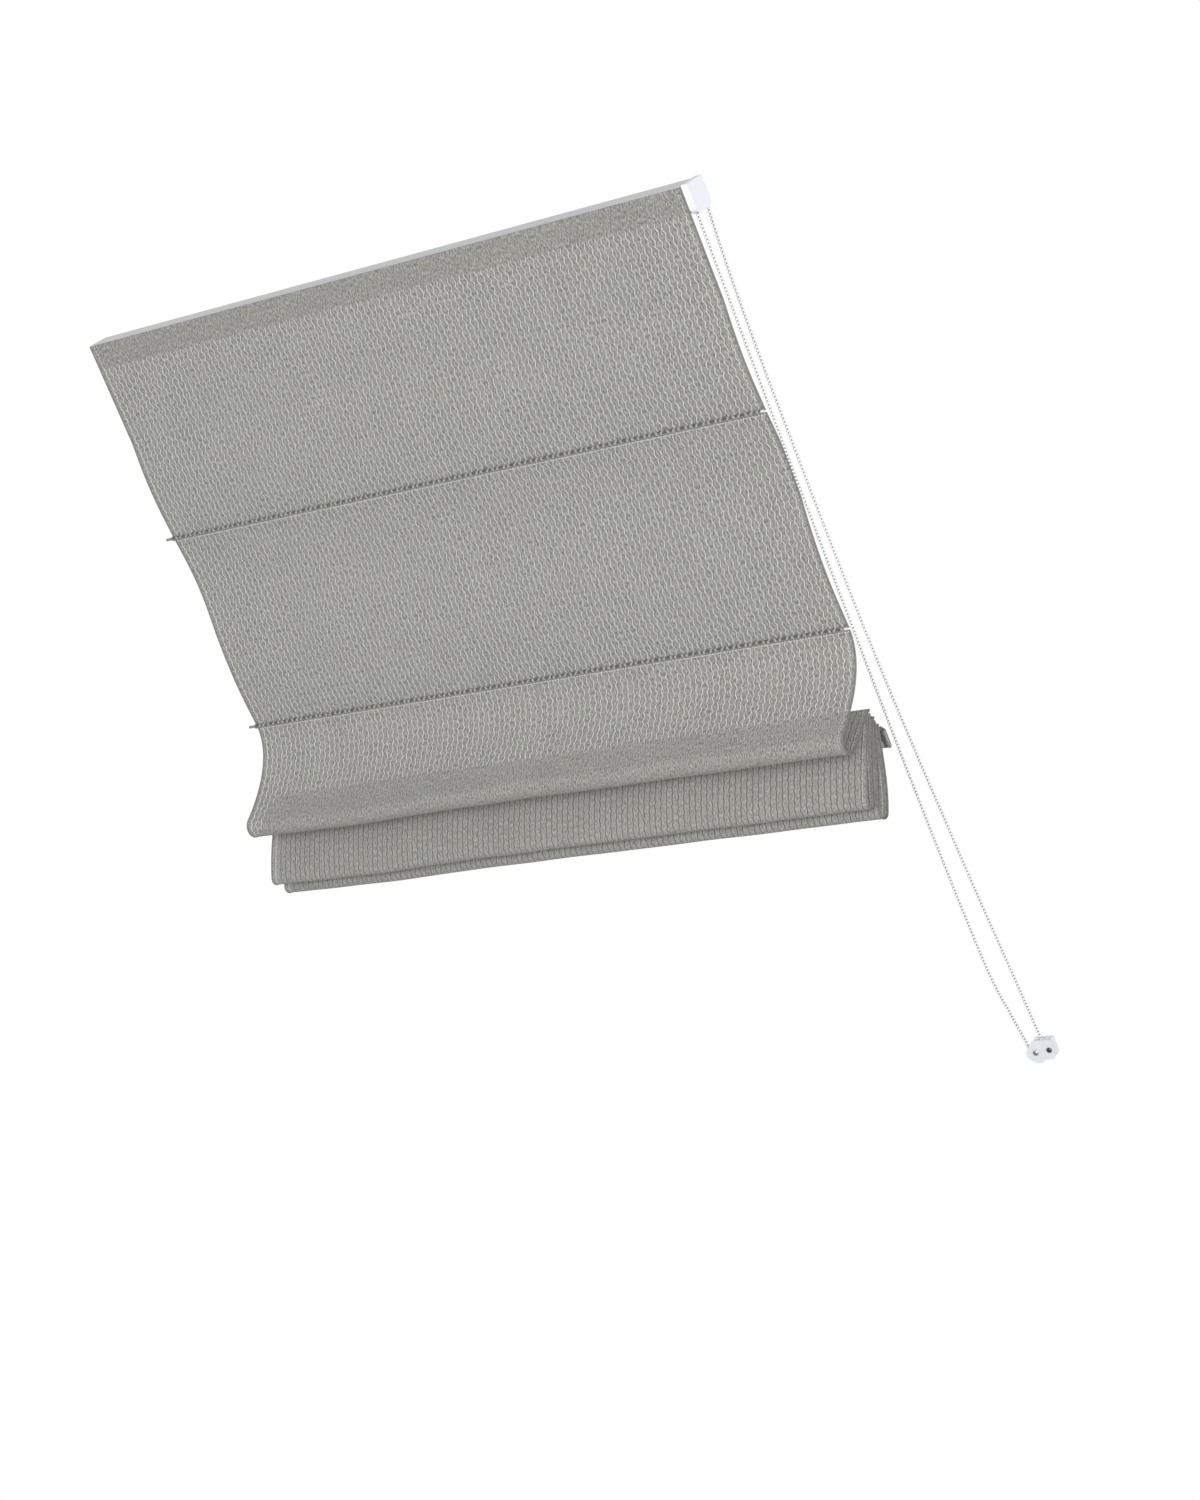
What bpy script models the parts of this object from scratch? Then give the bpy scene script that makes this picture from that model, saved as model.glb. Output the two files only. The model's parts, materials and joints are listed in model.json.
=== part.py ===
"""Folding fabric blind for a sloping window, lifted by a bead chain.

Lengths are in metres.  Every piece is first drawn in the blind's own frame: X runs along the
headrail, a drop is measured down the slope from the top edge of the fabric, and a lift is
measured off the mounting surface towards the room.  One empty then tilts it all to the slope.
"""
from math import cos, pi, radians, sin, sqrt

import bmesh
import bpy
from mathutils import Matrix, Vector

for old in list(bpy.data.objects):
    bpy.data.objects.remove(old)

# The slope the blind is fitted on, and the clearances between pieces
SLOPE = radians(55.0)
GAP = 0.0003                      # between pieces that touch
RUN = 0.0006                      # round a turning piece

# Fabric
FABRIC_WIDTH = 1.075
FABRIC_THICK = 0.0010
FIRST_DROP = 0.303                # top edge to the first rod
PANEL_DROP = 0.308                # first rod to second rod
PANEL_SWINGS = ((0.0, 0.0045), (0.0060, 0.0040))   # each panel behind, then before its plane
OPEN_FOLD_DROP = 0.110            # second rod to third rod, with the first fold half open
STACK_STEP = 0.0120               # rod to rod inside the gathered stack
STACK_LIFT = 0.0215               # top rod of the stack off the fabric plane
STACK_LEAN = 0.0038               # each lower rod of the stack lies this much closer to it

# Rods, bottom bar and hem
ROD_COUNT = 5
ROD_DIAMETER = 0.0040
ROD_OVERHANG = 0.0125             # end of a straight panel's rod past the left edge
ROD_INSET = 0.0015                # rod end inside the right edge
ROD_SIDES = 12
BAR_HEIGHT = 0.0200
BAR_THICK = 0.0035
BAR_INSET = 0.0040
HEM_NECK = 0.0110                 # fabric between the last rod and the top of the bar
HEM_OFF = 0.0060                  # back of the hem off the fabric plane
HEM_LEAVES = radians(-15.0)       # direction the hem leaves the last rod
HEM_CLOSE = radians(150.0)        # how far the hem closes round the top of the bar

# Lift cords
CORD_DIAMETER = 0.0014
CORD_SIDES = 8
CORD_INSET = 0.1575               # outer cords in from the edges of the fabric
CORD_BEHIND = 0.0075              # cord line behind the fabric
STOP_DIAMETER = 0.0070
STOP_LENGTH = 0.0090
STOP_CHAMFER = 0.0010

# Headrail and its fixings
RAIL_DEPTH = 0.0345
RAIL_HEIGHT = 0.0360
RAIL_WALL = 0.0014
RAIL_LIP = 0.0040
TAPE_HEIGHT = 0.0200
TAPE_FROM_TOP = 0.0040
TAPE_INSET = 0.0050
HOOK_TAPE_THICK = 0.0010
LOOP_TAPE_THICK = 0.0008
SCREW_DIAMETER = 0.0040
SCREW_HEAD = 0.0078
SCREW_HEAD_HIGH = 0.0022
SCREW_COUNT = 4
SCREW_INSET = 0.0775              # outer screws in from the ends of the headrail

# Shaft line inside the headrail
SHAFT_FLATS = 0.0060
DRUM_ROOM = 0.0029                # between a drum's flange and its saddle
DRUM_LIP = 0.00225                # flange above the barrel of a drum
DRUM_FLANGE_THICK = 0.0015
DRUM_LENGTH = 0.0300
CRADLE_SHEET = 0.0016
CRADLE_HEIGHT = 0.0200

# Plain cap at the left end
CAP_THICK = 0.0035
PLUG_LENGTH = 0.0100
BUSH_WALL = 0.0015

# Chain drive at the right end
BEAD_DIAMETER = 0.0038
WHEEL_LIP = 0.0004                # rim of a chain wheel beside the bead groove
WHEEL_PLAY = 0.0010               # chain wheel to the wall beside it
HUB_WALL = 0.0022
SPROCKET_ROOM = 0.00195           # beads to the back and the front wall of the housing
CROWN_ROOM = 0.0031               # beads to the top wall
FOOT_ROOM = 0.0041                # beads to the bottom wall
HOUSING_WALL = 0.0014
HOUSING_ROUND = 0.0100            # lower corners
HOUSING_SOFT = 0.0015             # upper corners
MOUTH_PLAY = 0.0018               # room for the hanging chain in the mouth of the housing
BRAKE_LENGTH = 0.0160
BRAKE_SPRING_WALL = 0.0012

# Chain tensioner, screwed to the mounting surface below the drive
TENSIONER_DROP = 1.266
TENSIONER_OUT = 0.0181            # pulley centre past the right edge of the fabric
PULLEY_PITCH_DIAMETER = 0.0252
CASE_WALL = 0.0014
CASE_FLOOR = 0.0020
CASE_SHOULDER = 0.0180            # top of the case above the pulley centre
BASE_HEIGHT = 0.0075
COVER_HEIGHT = 0.0050
WING_WIDTH = 0.0125
WING_LENGTH = 0.0300
AXLE_DIAMETER = 0.0040
AXLE_HEAD = 0.0080
AXLE_HEAD_HIGH = 0.0015

# Each fold hangs from its upper rod as two layers that join in a round turn.  The turn starts
# at a point given from the upper rod, as a drop and a lift, and points down at its lean.  The
# fabric leaves the upper rod and arrives at the lower one in the directions given.
FOLD_DROPS = (0.1080, 0.0942, 0.1038)
FOLD_LIFTS = (0.0945, 0.0985, 0.0805)
FOLD_RADII = (0.0160, 0.0090, 0.0096)
FOLD_LEANS = (radians(63.0), radians(30.0), radians(38.0))
FOLD_LEAVES = (0.0, radians(45.0), radians(30.0))
FOLD_ARRIVES = (radians(66.0), radians(42.0), radians(22.0))
FRONT_HANDLE = 0.45               # fullness of a fold's room side and of its rear side
REAR_HANDLE = 0.35
PANEL_WRAP = radians(300.0)       # how far a panel and a fold go round the rod they end at
FOLD_WRAP = radians(270.0)

HALF_STEPS = 7                    # half of a panel, both sides of a fold, and half its turn
FRONT_STEPS = 12
REAR_STEPS = 10
TURN_STEPS = 5
WRAP_STEPS = 14

# The chain's two runs between sprocket and pulley: how far along the run, how far it strays
# outwards, and how far it sags towards the room.
FRONT_RUN = ((0.20, -0.0010, 0.0075), (0.45, -0.0022, 0.0150), (0.70, -0.0028, 0.0200),
             (0.88, -0.0030, 0.0180), (0.95, -0.0015, 0.0075), (0.985, -0.0002, 0.0007))
REAR_RUN = ((0.10, -0.0010, 0.0110), (0.25, -0.0014, 0.0190), (0.50, -0.0010, 0.0250),
            (0.75, 0.0004, 0.0170), (0.92, 0.0002, 0.0050), (0.985, 0.0, 0.0005))
RUN_STEPS = 4
WHEEL_STEPS = 12

# Places and sizes that follow from the ones above
LEFT = -FABRIC_WIDTH / 2
RIGHT = FABRIC_WIDTH / 2
MIDDLE_DROP = RAIL_HEIGHT / 2
SHAFT_CORNER = SHAFT_FLATS / sqrt(3)
SHAFT_LIFT = (RAIL_DEPTH + RAIL_WALL) / 2
FABRIC_BACK = RAIL_DEPTH + GAP + HOOK_TAPE_THICK + GAP + LOOP_TAPE_THICK + GAP
FABRIC_LIFT = FABRIC_BACK + FABRIC_THICK / 2
POCKET_RADIUS = ROD_DIAMETER / 2 + GAP + FABRIC_THICK / 2
HEM_RADIUS = BAR_THICK / 2 + GAP + FABRIC_THICK / 2
DRUM_FLANGE = 2 * (SHAFT_LIFT - RAIL_WALL - GAP - CRADLE_SHEET - DRUM_ROOM)
DRUM_DIAMETER = DRUM_FLANGE - 2 * DRUM_LIP
WHEEL_WIDTH = BEAD_DIAMETER + 2 * GAP + 2 * WHEEL_LIP
HOUSING_WIDTH = WHEEL_WIDTH + 2 * (WHEEL_PLAY + HOUSING_WALL)
HOUSING_IN = RIGHT + GAP
HOUSING_OUT = HOUSING_IN + HOUSING_WIDTH
HOUSING_MID = HOUSING_IN + HOUSING_WIDTH / 2
SPROCKET_PITCH_DIAMETER = FABRIC_LIFT - 2 * (HOUSING_WALL + SPROCKET_ROOM) - BEAD_DIAMETER
SPROCKET_REACH = (SPROCKET_PITCH_DIAMETER + BEAD_DIAMETER) / 2
HOUSING_TOP = MIDDLE_DROP - SPROCKET_REACH - CROWN_ROOM - HOUSING_WALL
HOUSING_LOW = MIDDLE_DROP + SPROCKET_REACH + FOOT_ROOM + HOUSING_WALL
TENSIONER_X = RIGHT + TENSIONER_OUT
CASE_TOP = BASE_HEIGHT + GAP + COVER_HEIGHT
CASE_RADIUS = (PULLEY_PITCH_DIAMETER + BEAD_DIAMETER) / 2 + RUN + CASE_WALL
WING_X = TENSIONER_X + CASE_RADIUS + WING_WIDTH / 2
WING_DROP = TENSIONER_DROP - CASE_SHOULDER + WING_LENGTH / 2

ROD_DROPS = [FIRST_DROP, FIRST_DROP + PANEL_DROP]
ROD_LIFTS = [FABRIC_LIFT + POCKET_RADIUS] * len(ROD_DROPS)
for n in range(ROD_COUNT - len(ROD_DROPS)):
    ROD_DROPS.append(FIRST_DROP + PANEL_DROP + OPEN_FOLD_DROP + n * STACK_STEP)
    ROD_LIFTS.append(FABRIC_LIFT + STACK_LIFT - n * STACK_LEAN)
HEM_LIFT = FABRIC_LIFT + HEM_OFF
BAR_TOP = ROD_DROPS[-1] + HEM_NECK + HEM_RADIUS
CORD_COLUMNS = {"left": LEFT + CORD_INSET, "middle": 0.0, "right": RIGHT - CORD_INSET}
STOP_DROP = BAR_TOP + BAR_HEIGHT / 2
STOP_LIFT = HEM_LIFT - FABRIC_THICK / 2 - GAP - STOP_DIAMETER / 2

slope = bpy.data.objects.new("slope", None)
slope.rotation_euler = (pi / 2 - SLOPE, 0.0, 0.0)
bpy.context.collection.objects.link(slope)


ALONG = Vector((1.0, 0.0, 0.0))
ROOMWARD = Vector((0.0, -1.0, 0.0))
DOWN = Vector((0.0, 0.0, -1.0))


def spot(x, drop, lift):
    """A point of the blind's own frame: along the rail, down the slope, off the surface."""
    return Vector((x, -lift, MIDDLE_DROP - drop))


def paint(name, colour, roughness, metallic=0.0, alpha=1.0):
    """A plain finish of one colour."""
    finish = bpy.data.materials.new(name)
    finish.use_nodes = True
    shader = finish.node_tree.nodes["Principled BSDF"]
    shader.inputs["Base Color"].default_value = (*colour, 1.0)
    shader.inputs["Roughness"].default_value = roughness
    shader.inputs["Metallic"].default_value = metallic
    shader.inputs["Alpha"].default_value = alpha
    return finish


FINISHES = {
    "knit": ((0.34, 0.335, 0.31), 0.9),
    "white_plastic": ((0.83, 0.85, 0.90), 0.35),
    "white_rod": ((0.85, 0.85, 0.83), 0.4),
    "anodised": ((0.60, 0.60, 0.62), 0.35, 0.9),
    "steel": ((0.55, 0.55, 0.56), 0.3, 1.0),
    "clear_plastic": ((0.80, 0.83, 0.86), 0.12),
    "tape": ((0.75, 0.75, 0.74), 0.95),
    "cord": ((0.82, 0.82, 0.80), 0.8),
}


def add(name, bm, finish, origin=Vector()):
    """Store a finished shape as an object whose own origin lies at the given spot."""
    bmesh.ops.recalc_face_normals(bm, faces=bm.faces[:])
    bmesh.ops.translate(bm, verts=bm.verts[:], vec=-origin)
    mesh = bpy.data.meshes.new(name)
    bm.to_mesh(mesh)
    bm.free()
    mesh.materials.append(paint(name + "_finish", *FINISHES[finish]))
    piece = bpy.data.objects.new(name, mesh)
    piece.location = origin
    piece.parent = slope
    bpy.context.collection.objects.link(piece)
    return piece


def smooth_shade(piece, angle=35.0):
    """Shade a round piece smooth, with its sharp edges kept."""
    piece.data.shade_smooth()
    piece.data.set_sharp_from_angle(angle=radians(angle))


def sweep(bm, faces, way):
    """Draw flat faces out into a solid."""
    swept = bmesh.ops.extrude_face_region(bm, geom=faces)
    moved = [v for v in swept["geom"] if isinstance(v, bmesh.types.BMVert)]
    bmesh.ops.translate(bm, verts=moved, vec=way)
    return bm


def section_prism(outline, x0, x1):
    """A solid with a (drop, lift) outline, drawn from x0 to x1 along the rail."""
    bm = bmesh.new()
    face = bm.faces.new([bm.verts.new(spot(x0, drop, lift)) for drop, lift in outline])
    return sweep(bm, [face], ALONG * (x1 - x0))


def plan_prism(outline, lift0, lift1):
    """A solid with an (x, drop) outline, standing from lift0 to lift1 off the surface."""
    bm = bmesh.new()
    face = bm.faces.new([bm.verts.new(spot(x, drop, lift0)) for x, drop in outline])
    return sweep(bm, [face], ROOMWARD * (lift1 - lift0))


def ribbon_sides(line, thick):
    """Both sides of a (drop, lift) centre line, half a thickness out, mitred at its corners."""
    one_side = []
    other_side = []
    for n, here in enumerate(line):
        before = line[max(n - 1, 0)]
        after = line[min(n + 1, len(line) - 1)]
        came = Vector((here[0] - before[0], here[1] - before[1]))
        goes = Vector((after[0] - here[0], after[1] - here[1]))
        came = came.normalized() if came.length > 0 else goes.normalized()
        goes = goes.normalized() if goes.length > 0 else came
        along = (came + goes).normalized()
        across = Vector((-along.y, along.x))
        reach = thick / 2 / max(across.dot(Vector((-goes.y, goes.x))), 0.5)
        one_side.append((here[0] + across.x * reach, here[1] + across.y * reach))
        other_side.append((here[0] - across.x * reach, here[1] - across.y * reach))
    return one_side, other_side


def strip(bm, ones, others):
    """Faces between two rows of points."""
    row = [bm.verts.new(p) for p in ones]
    other_row = [bm.verts.new(p) for p in others]
    return [bm.faces.new((row[n], row[n + 1], other_row[n + 1], other_row[n]))
            for n in range(len(row) - 1)]


def ribbon_prism(line, thick, x0, x1):
    """A bent sheet: a (drop, lift) centre line with a thickness, drawn from x0 to x1."""
    bm = bmesh.new()
    sides = [[spot(x0, drop, lift) for drop, lift in side] for side in ribbon_sides(line, thick)]
    return sweep(bm, strip(bm, *sides), ALONG * (x1 - x0))


def lathe(profile, centre, axis, steps=24):
    """Turn a (radius, along) profile about an axis; one that starts on the axis stays open."""
    bm = bmesh.new()
    out = axis.orthogonal().normalized()
    verts = [bm.verts.new(centre + out * r + axis * a) for r, a in profile]
    edges = [bm.edges.new(pair) for pair in zip(verts, verts[1:])]
    if profile[0][0] > 0.0:
        edges.append(bm.edges.new((verts[-1], verts[0])))
    bmesh.ops.spin(bm, geom=verts + edges, cent=centre, axis=axis, angle=2 * pi,
                   steps=steps, use_merge=True)
    bmesh.ops.remove_doubles(bm, verts=bm.verts[:], dist=1e-6)
    return bm


def rod(radius, start, end, sides=16, soft=0.0):
    """A round bar from start to end, with its two rims softened."""
    bm = bmesh.new()
    run = end - start
    turn = run.to_track_quat("Z", "Y").to_matrix().to_4x4()
    place = Matrix.Translation((start + end) / 2) @ turn
    bmesh.ops.create_cone(bm, cap_ends=True, segments=sides, radius1=radius, radius2=radius,
                          depth=run.length, matrix=place)
    if soft > 0.0:
        rims = [e for e in bm.edges if any(len(f.verts) > 4 for f in e.link_faces)]
        bmesh.ops.bevel(bm, geom=rims, offset=soft, segments=2, profile=0.5,
                        affect="EDGES", material=-1)
    return bm


def block(x0, x1, drop0, drop1, lift0, lift1):
    """A rectangular solid between two values on each axis."""
    outline = ((drop0, lift0), (drop1, lift0), (drop1, lift1), (drop0, lift1))
    return section_prism(outline, x0, x1)


def cut(piece, name, bm, operation="DIFFERENCE"):
    """Cut the piece with a hidden tool, or join the tool to it."""
    tool = add(name, bm, "steel")
    tool.hide_render = True
    tool.display_type = "WIRE"
    change = piece.modifiers.new(name, "BOOLEAN")
    change.operation = operation
    change.solver = "EXACT"
    change.object = tool


def arc(centre, radius, start, end, steps):
    """Points on a circle from one angle to another, in radians, both ends included."""
    turn = [start + (end - start) * n / steps for n in range(steps + 1)]
    return [(centre[0] + radius * cos(a), centre[1] + radius * sin(a)) for a in turn]


def rounded_section(drop0, drop1, lift0, lift1, soft, round_low):
    """A (drop, lift) outline with small upper corners and large lower ones."""
    line = arc((drop0 + soft, lift0 + soft), soft, 1.5 * pi, pi, 3)
    line += arc((drop0 + soft, lift1 - soft), soft, pi, 0.5 * pi, 3)
    line += arc((drop1 - round_low, lift1 - round_low), round_low, 0.5 * pi, 0.0, 8)
    line += arc((drop1 - round_low, lift0 + round_low), round_low, 0.0, -0.5 * pi, 8)
    return line


def bezier(a, b, c, d, steps):
    """Points on a cubic curve from a to d, both ends included."""
    line = []
    for n in range(steps + 1):
        t = n / steps
        s = 1 - t
        line.append(tuple(s ** 3 * a[k] + 3 * s * s * t * b[k] + 3 * s * t * t * c[k]
                          + t ** 3 * d[k] for k in range(2)))
    return line


def step_off(point, angle, length):
    """The point a length away in the (drop, lift) plane."""
    return (point[0] + length * cos(angle), point[1] + length * sin(angle))


# Headrail: a folded channel, open down the slope, screwed through its back wall.

def make_headrail():
    """The channel, with a hole in its back for each screw."""
    back = RAIL_WALL / 2
    front = RAIL_DEPTH - back
    top = back
    low = RAIL_HEIGHT - back
    line = ((low, back + RAIL_LIP), (low, back), (top, back), (top, front), (low, front),
            (low, front - RAIL_LIP))
    rail = add("headrail", ribbon_prism(line, RAIL_WALL, LEFT, RIGHT), "anodised")
    first = LEFT + SCREW_INSET
    pitch = -2 * first / (SCREW_COUNT - 1)
    for n in range(SCREW_COUNT):
        x = first + n * pitch
        hole = rod(SCREW_DIAMETER / 2 + GAP, spot(x, MIDDLE_DROP, -RAIL_WALL),
                   spot(x, MIDDLE_DROP, 2 * RAIL_WALL))
        cut(rail, "rail_hole_%d" % (n + 1), hole)
        make_pin("rail_screw_%d" % (n + 1), x, MIDDLE_DROP, 0.0, RAIL_WALL,
                 SCREW_DIAMETER, SCREW_HEAD, SCREW_HEAD_HIGH)


def make_pin(name, x, drop, start, seat, thick, head_wide, head_high):
    """A screw or an axle, from its hidden end to the head that rests on a seat."""
    r = thick / 2
    head = head_wide / 2
    under = seat + GAP
    top = under + head_high
    chamfer = head_high / 2
    profile = ((0.0, start), (r, start), (r, under), (head, under), (head, top - chamfer),
               (head - chamfer, top), (0.0, top))
    smooth_shade(add(name, lathe(profile, spot(x, drop, 0.0), ROOMWARD, 16), "steel"))


def make_tapes():
    """The touch tape that holds the top edge of the fabric: hooks on the rail, loops on it."""
    low = TAPE_FROM_TOP + TAPE_HEIGHT
    hook = RAIL_DEPTH + GAP
    loop = hook + HOOK_TAPE_THICK + GAP
    x0 = LEFT + TAPE_INSET
    x1 = RIGHT - TAPE_INSET
    add("hook_tape", block(x0, x1, TAPE_FROM_TOP, low, hook, hook + HOOK_TAPE_THICK), "tape")
    add("loop_tape", block(x0, x1, TAPE_FROM_TOP, low, loop, loop + LOOP_TAPE_THICK), "tape")


def rail_plug(x0, x1):
    """A block that slides into the end of the channel."""
    inside = RAIL_WALL + GAP
    return block(x0, x1, inside, RAIL_HEIGHT - inside, inside, RAIL_DEPTH - inside)


def shaft_hole(radius, x0, x1):
    """A round tool along the shaft's axis."""
    return rod(radius, spot(x0, MIDDLE_DROP, SHAFT_LIFT), spot(x1, MIDDLE_DROP, SHAFT_LIFT), 24)


def make_sleeve(name, radius, wall, start, length, finish):
    """A tube round the shaft."""
    profile = ((radius - wall, 0.0), (radius, 0.0), (radius, length), (radius - wall, length))
    centre = spot(start, MIDDLE_DROP, SHAFT_LIFT)
    smooth_shade(add(name, lathe(profile, centre, ALONG), finish))


def make_left_end():
    """A flat cap with a plug, and the bush in it that carries the idle end of the shaft."""
    shape = rounded_section(0.0, RAIL_HEIGHT, 0.0, RAIL_DEPTH, HOUSING_SOFT, HOUSING_SOFT)
    outer = LEFT - GAP
    cap = add("end_cap_left", section_prism(shape, outer - CAP_THICK, outer), "white_plastic")
    cut(cap, "end_cap_plug", rail_plug(outer - CAP_THICK / 2, LEFT + PLUG_LENGTH), "UNION")
    radius = SHAFT_CORNER + RUN + BUSH_WALL
    cut(cap, "end_cap_bore", shaft_hole(radius + GAP, outer, LEFT + 2 * PLUG_LENGTH))
    make_sleeve("shaft_bush", radius, BUSH_WALL, LEFT, PLUG_LENGTH, "white_plastic")


# Shaft line: a six-sided shaft, and a spool in a saddle for each lift cord.

def hexagon(flats):
    """A (drop, lift) hexagon round the shaft's axis, measured across its flats."""
    corners = arc((MIDDLE_DROP, SHAFT_LIFT), flats / sqrt(3), 0.0, 2 * pi, 6)
    return corners[:-1]


def shaft_bore(x0, x1):
    """A tool for the six-sided hole of a piece that the shaft turns."""
    return section_prism(hexagon(SHAFT_FLATS + 2 * GAP), x0, x1)


def make_shaft():
    """The shaft, from the left end cap to the outer wall of the drive."""
    shaft = section_prism(hexagon(SHAFT_FLATS), LEFT + GAP, HOUSING_OUT - HOUSING_WALL - GAP)
    add("drive_shaft", shaft, "steel", spot(0, MIDDLE_DROP, SHAFT_LIFT))


def make_drum(name, x):
    """A spool with two flanges on the shaft."""
    half = DRUM_LENGTH / 2
    barrel = DRUM_DIAMETER / 2
    flange = DRUM_FLANGE / 2
    shoulder = half - DRUM_FLANGE_THICK
    core = SHAFT_FLATS / 4
    profile = ((core, -half), (flange, -half), (flange, -shoulder), (barrel, -shoulder),
               (barrel, shoulder), (flange, shoulder), (flange, half), (core, half))
    centre = spot(x, MIDDLE_DROP, SHAFT_LIFT)
    drum = add("cord_drum_" + name, lathe(profile, centre, ALONG), "white_plastic", centre)
    cut(drum, "drum_bore_" + name, shaft_bore(x - DRUM_LENGTH, x + DRUM_LENGTH))
    smooth_shade(drum)


def make_cradle(name, x):
    """The saddle of a spool: a strip bent up at both ends, with a hole for the shaft in each."""
    half = DRUM_LENGTH / 2 + GAP + RUN + CRADLE_SHEET / 2
    foot = RAIL_WALL + GAP + CRADLE_SHEET / 2
    head = SHAFT_LIFT + SHAFT_FLATS
    line = ((x - half, head), (x - half, foot), (x + half, foot), (x + half, head))
    top = MIDDLE_DROP - CRADLE_HEIGHT / 2
    sides = [[spot(a, top, b) for a, b in side] for side in ribbon_sides(line, CRADLE_SHEET)]
    bm = bmesh.new()
    sweep(bm, strip(bm, *sides), DOWN * CRADLE_HEIGHT)
    cradle = add("drum_cradle_" + name, bm, "white_plastic")
    cut(cradle, "cradle_bore_" + name,
        shaft_hole(SHAFT_CORNER + RUN, x - DRUM_LENGTH, x + DRUM_LENGTH))


# Chain drive: a two-part housing, the sprocket in it, and a brake in the end of the rail.

def housing_shape(inset):
    """The (drop, lift) outline of the drive, as deep as the rail with the fabric on it."""
    return rounded_section(HOUSING_TOP + inset, HOUSING_LOW - inset, inset, FABRIC_LIFT - inset,
                           HOUSING_SOFT, HOUSING_ROUND - inset)


def grooved_wheel(name, centre, axis, pitch, bore, hub_half):
    """A wheel on a hub, with a round groove that the beads of the chain lie in."""
    rim = pitch / 2
    half = WHEEL_WIDTH / 2
    hub = bore + HUB_WALL
    groove = arc((rim, 0.0), BEAD_DIAMETER / 2 + GAP, 1.5 * pi, 0.5 * pi, 8)
    profile = [(bore, -hub_half), (hub, -hub_half), (hub, -half), (rim, -half)] + groove
    profile += [(rim, half), (hub, half), (hub, hub_half), (bore, hub_half)]
    wheel = add(name, lathe(profile, centre, axis, 28), "white_plastic", centre)
    smooth_shade(wheel)
    return wheel


def make_housing():
    """Both halves of the housing, hollow, with two slots that the chain hangs through."""
    halves = (("drive_housing", HOUSING_IN, HOUSING_MID - GAP / 2, HOUSING_WALL, 0.0),
              ("drive_cover", HOUSING_MID + GAP / 2, HOUSING_OUT, 0.0, HOUSING_WALL))
    reach = BEAD_DIAMETER / 2 + RUN
    for name, x0, x1, wall0, wall1 in halves:
        piece = add(name, section_prism(housing_shape(0.0), x0, x1), "white_plastic")
        hollow = section_prism(housing_shape(HOUSING_WALL), x0 + wall0, x1 - wall1)
        cut(piece, name + "_hollow", hollow)
        for side, way in (("front", 1), ("rear", -1)):
            lift = SHAFT_LIFT + way * SPROCKET_PITCH_DIAMETER / 2
            slot = block(HOUSING_MID - reach, HOUSING_MID + reach, MIDDLE_DROP,
                         HOUSING_LOW + HOUSING_WALL, lift - reach, lift + reach + MOUTH_PLAY)
            cut(piece, "%s_slot_%s" % (name, side), slot)
        if wall0:
            bore = shaft_hole(SHAFT_CORNER + RUN, x0 - HOUSING_WALL, x0 + 2 * HOUSING_WALL)
            cut(piece, name + "_bore", bore)


def make_drive():
    """The housing, the sprocket, and the brake: a hub in the rail with a coil spring in it."""
    make_housing()
    centre = spot(HOUSING_MID, MIDDLE_DROP, SHAFT_LIFT)
    sprocket = grooved_wheel("chain_sprocket", centre, ALONG, SPROCKET_PITCH_DIAMETER,
                             SHAFT_FLATS / 4, WHEEL_WIDTH / 2 + WHEEL_PLAY - RUN)
    cut(sprocket, "sprocket_bore", shaft_bore(HOUSING_IN, HOUSING_OUT))
    end = RIGHT - GAP
    start = end - BRAKE_LENGTH
    brake = add("brake_hub", rail_plug(start, end), "white_plastic")
    spring = SHAFT_CORNER + RUN + BRAKE_SPRING_WALL
    cut(brake, "brake_bore", shaft_hole(spring + GAP, start - GAP, end + GAP))
    make_sleeve("brake_spring", spring, BRAKE_SPRING_WALL, start, BRAKE_LENGTH, "steel")


# Chain tensioner: a base and a cover round a pulley, with a wing that takes the screw.

def case_shape():
    """The (x, drop) outline of the tensioner: a half round below, a wing on the right.

    Its upper left corner is cut away, so that the front run of the chain enters in the open.
    """
    r = CASE_RADIUS
    top = TENSIONER_DROP - CASE_SHOULDER
    low = top + WING_LENGTH
    side = TENSIONER_X + r + WING_WIDTH
    chamfer = WING_WIDTH / 2
    line = arc((TENSIONER_X, TENSIONER_DROP), r, pi, 0.25 * pi, 14)
    line += [(TENSIONER_X + r, low), (side - chamfer, low), (side, low - chamfer), (side, top)]
    return line + [(TENSIONER_X, top)]


def case_hollow():
    """The (x, drop) outline of the pulley's room, open towards the drive."""
    r = CASE_RADIUS - CASE_WALL
    mouth = TENSIONER_DROP - 2 * CASE_SHOULDER
    line = arc((TENSIONER_X, TENSIONER_DROP), r, pi, 0.0, 18)
    return line + [(TENSIONER_X + r, mouth), (TENSIONER_X - r, mouth)]


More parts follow.
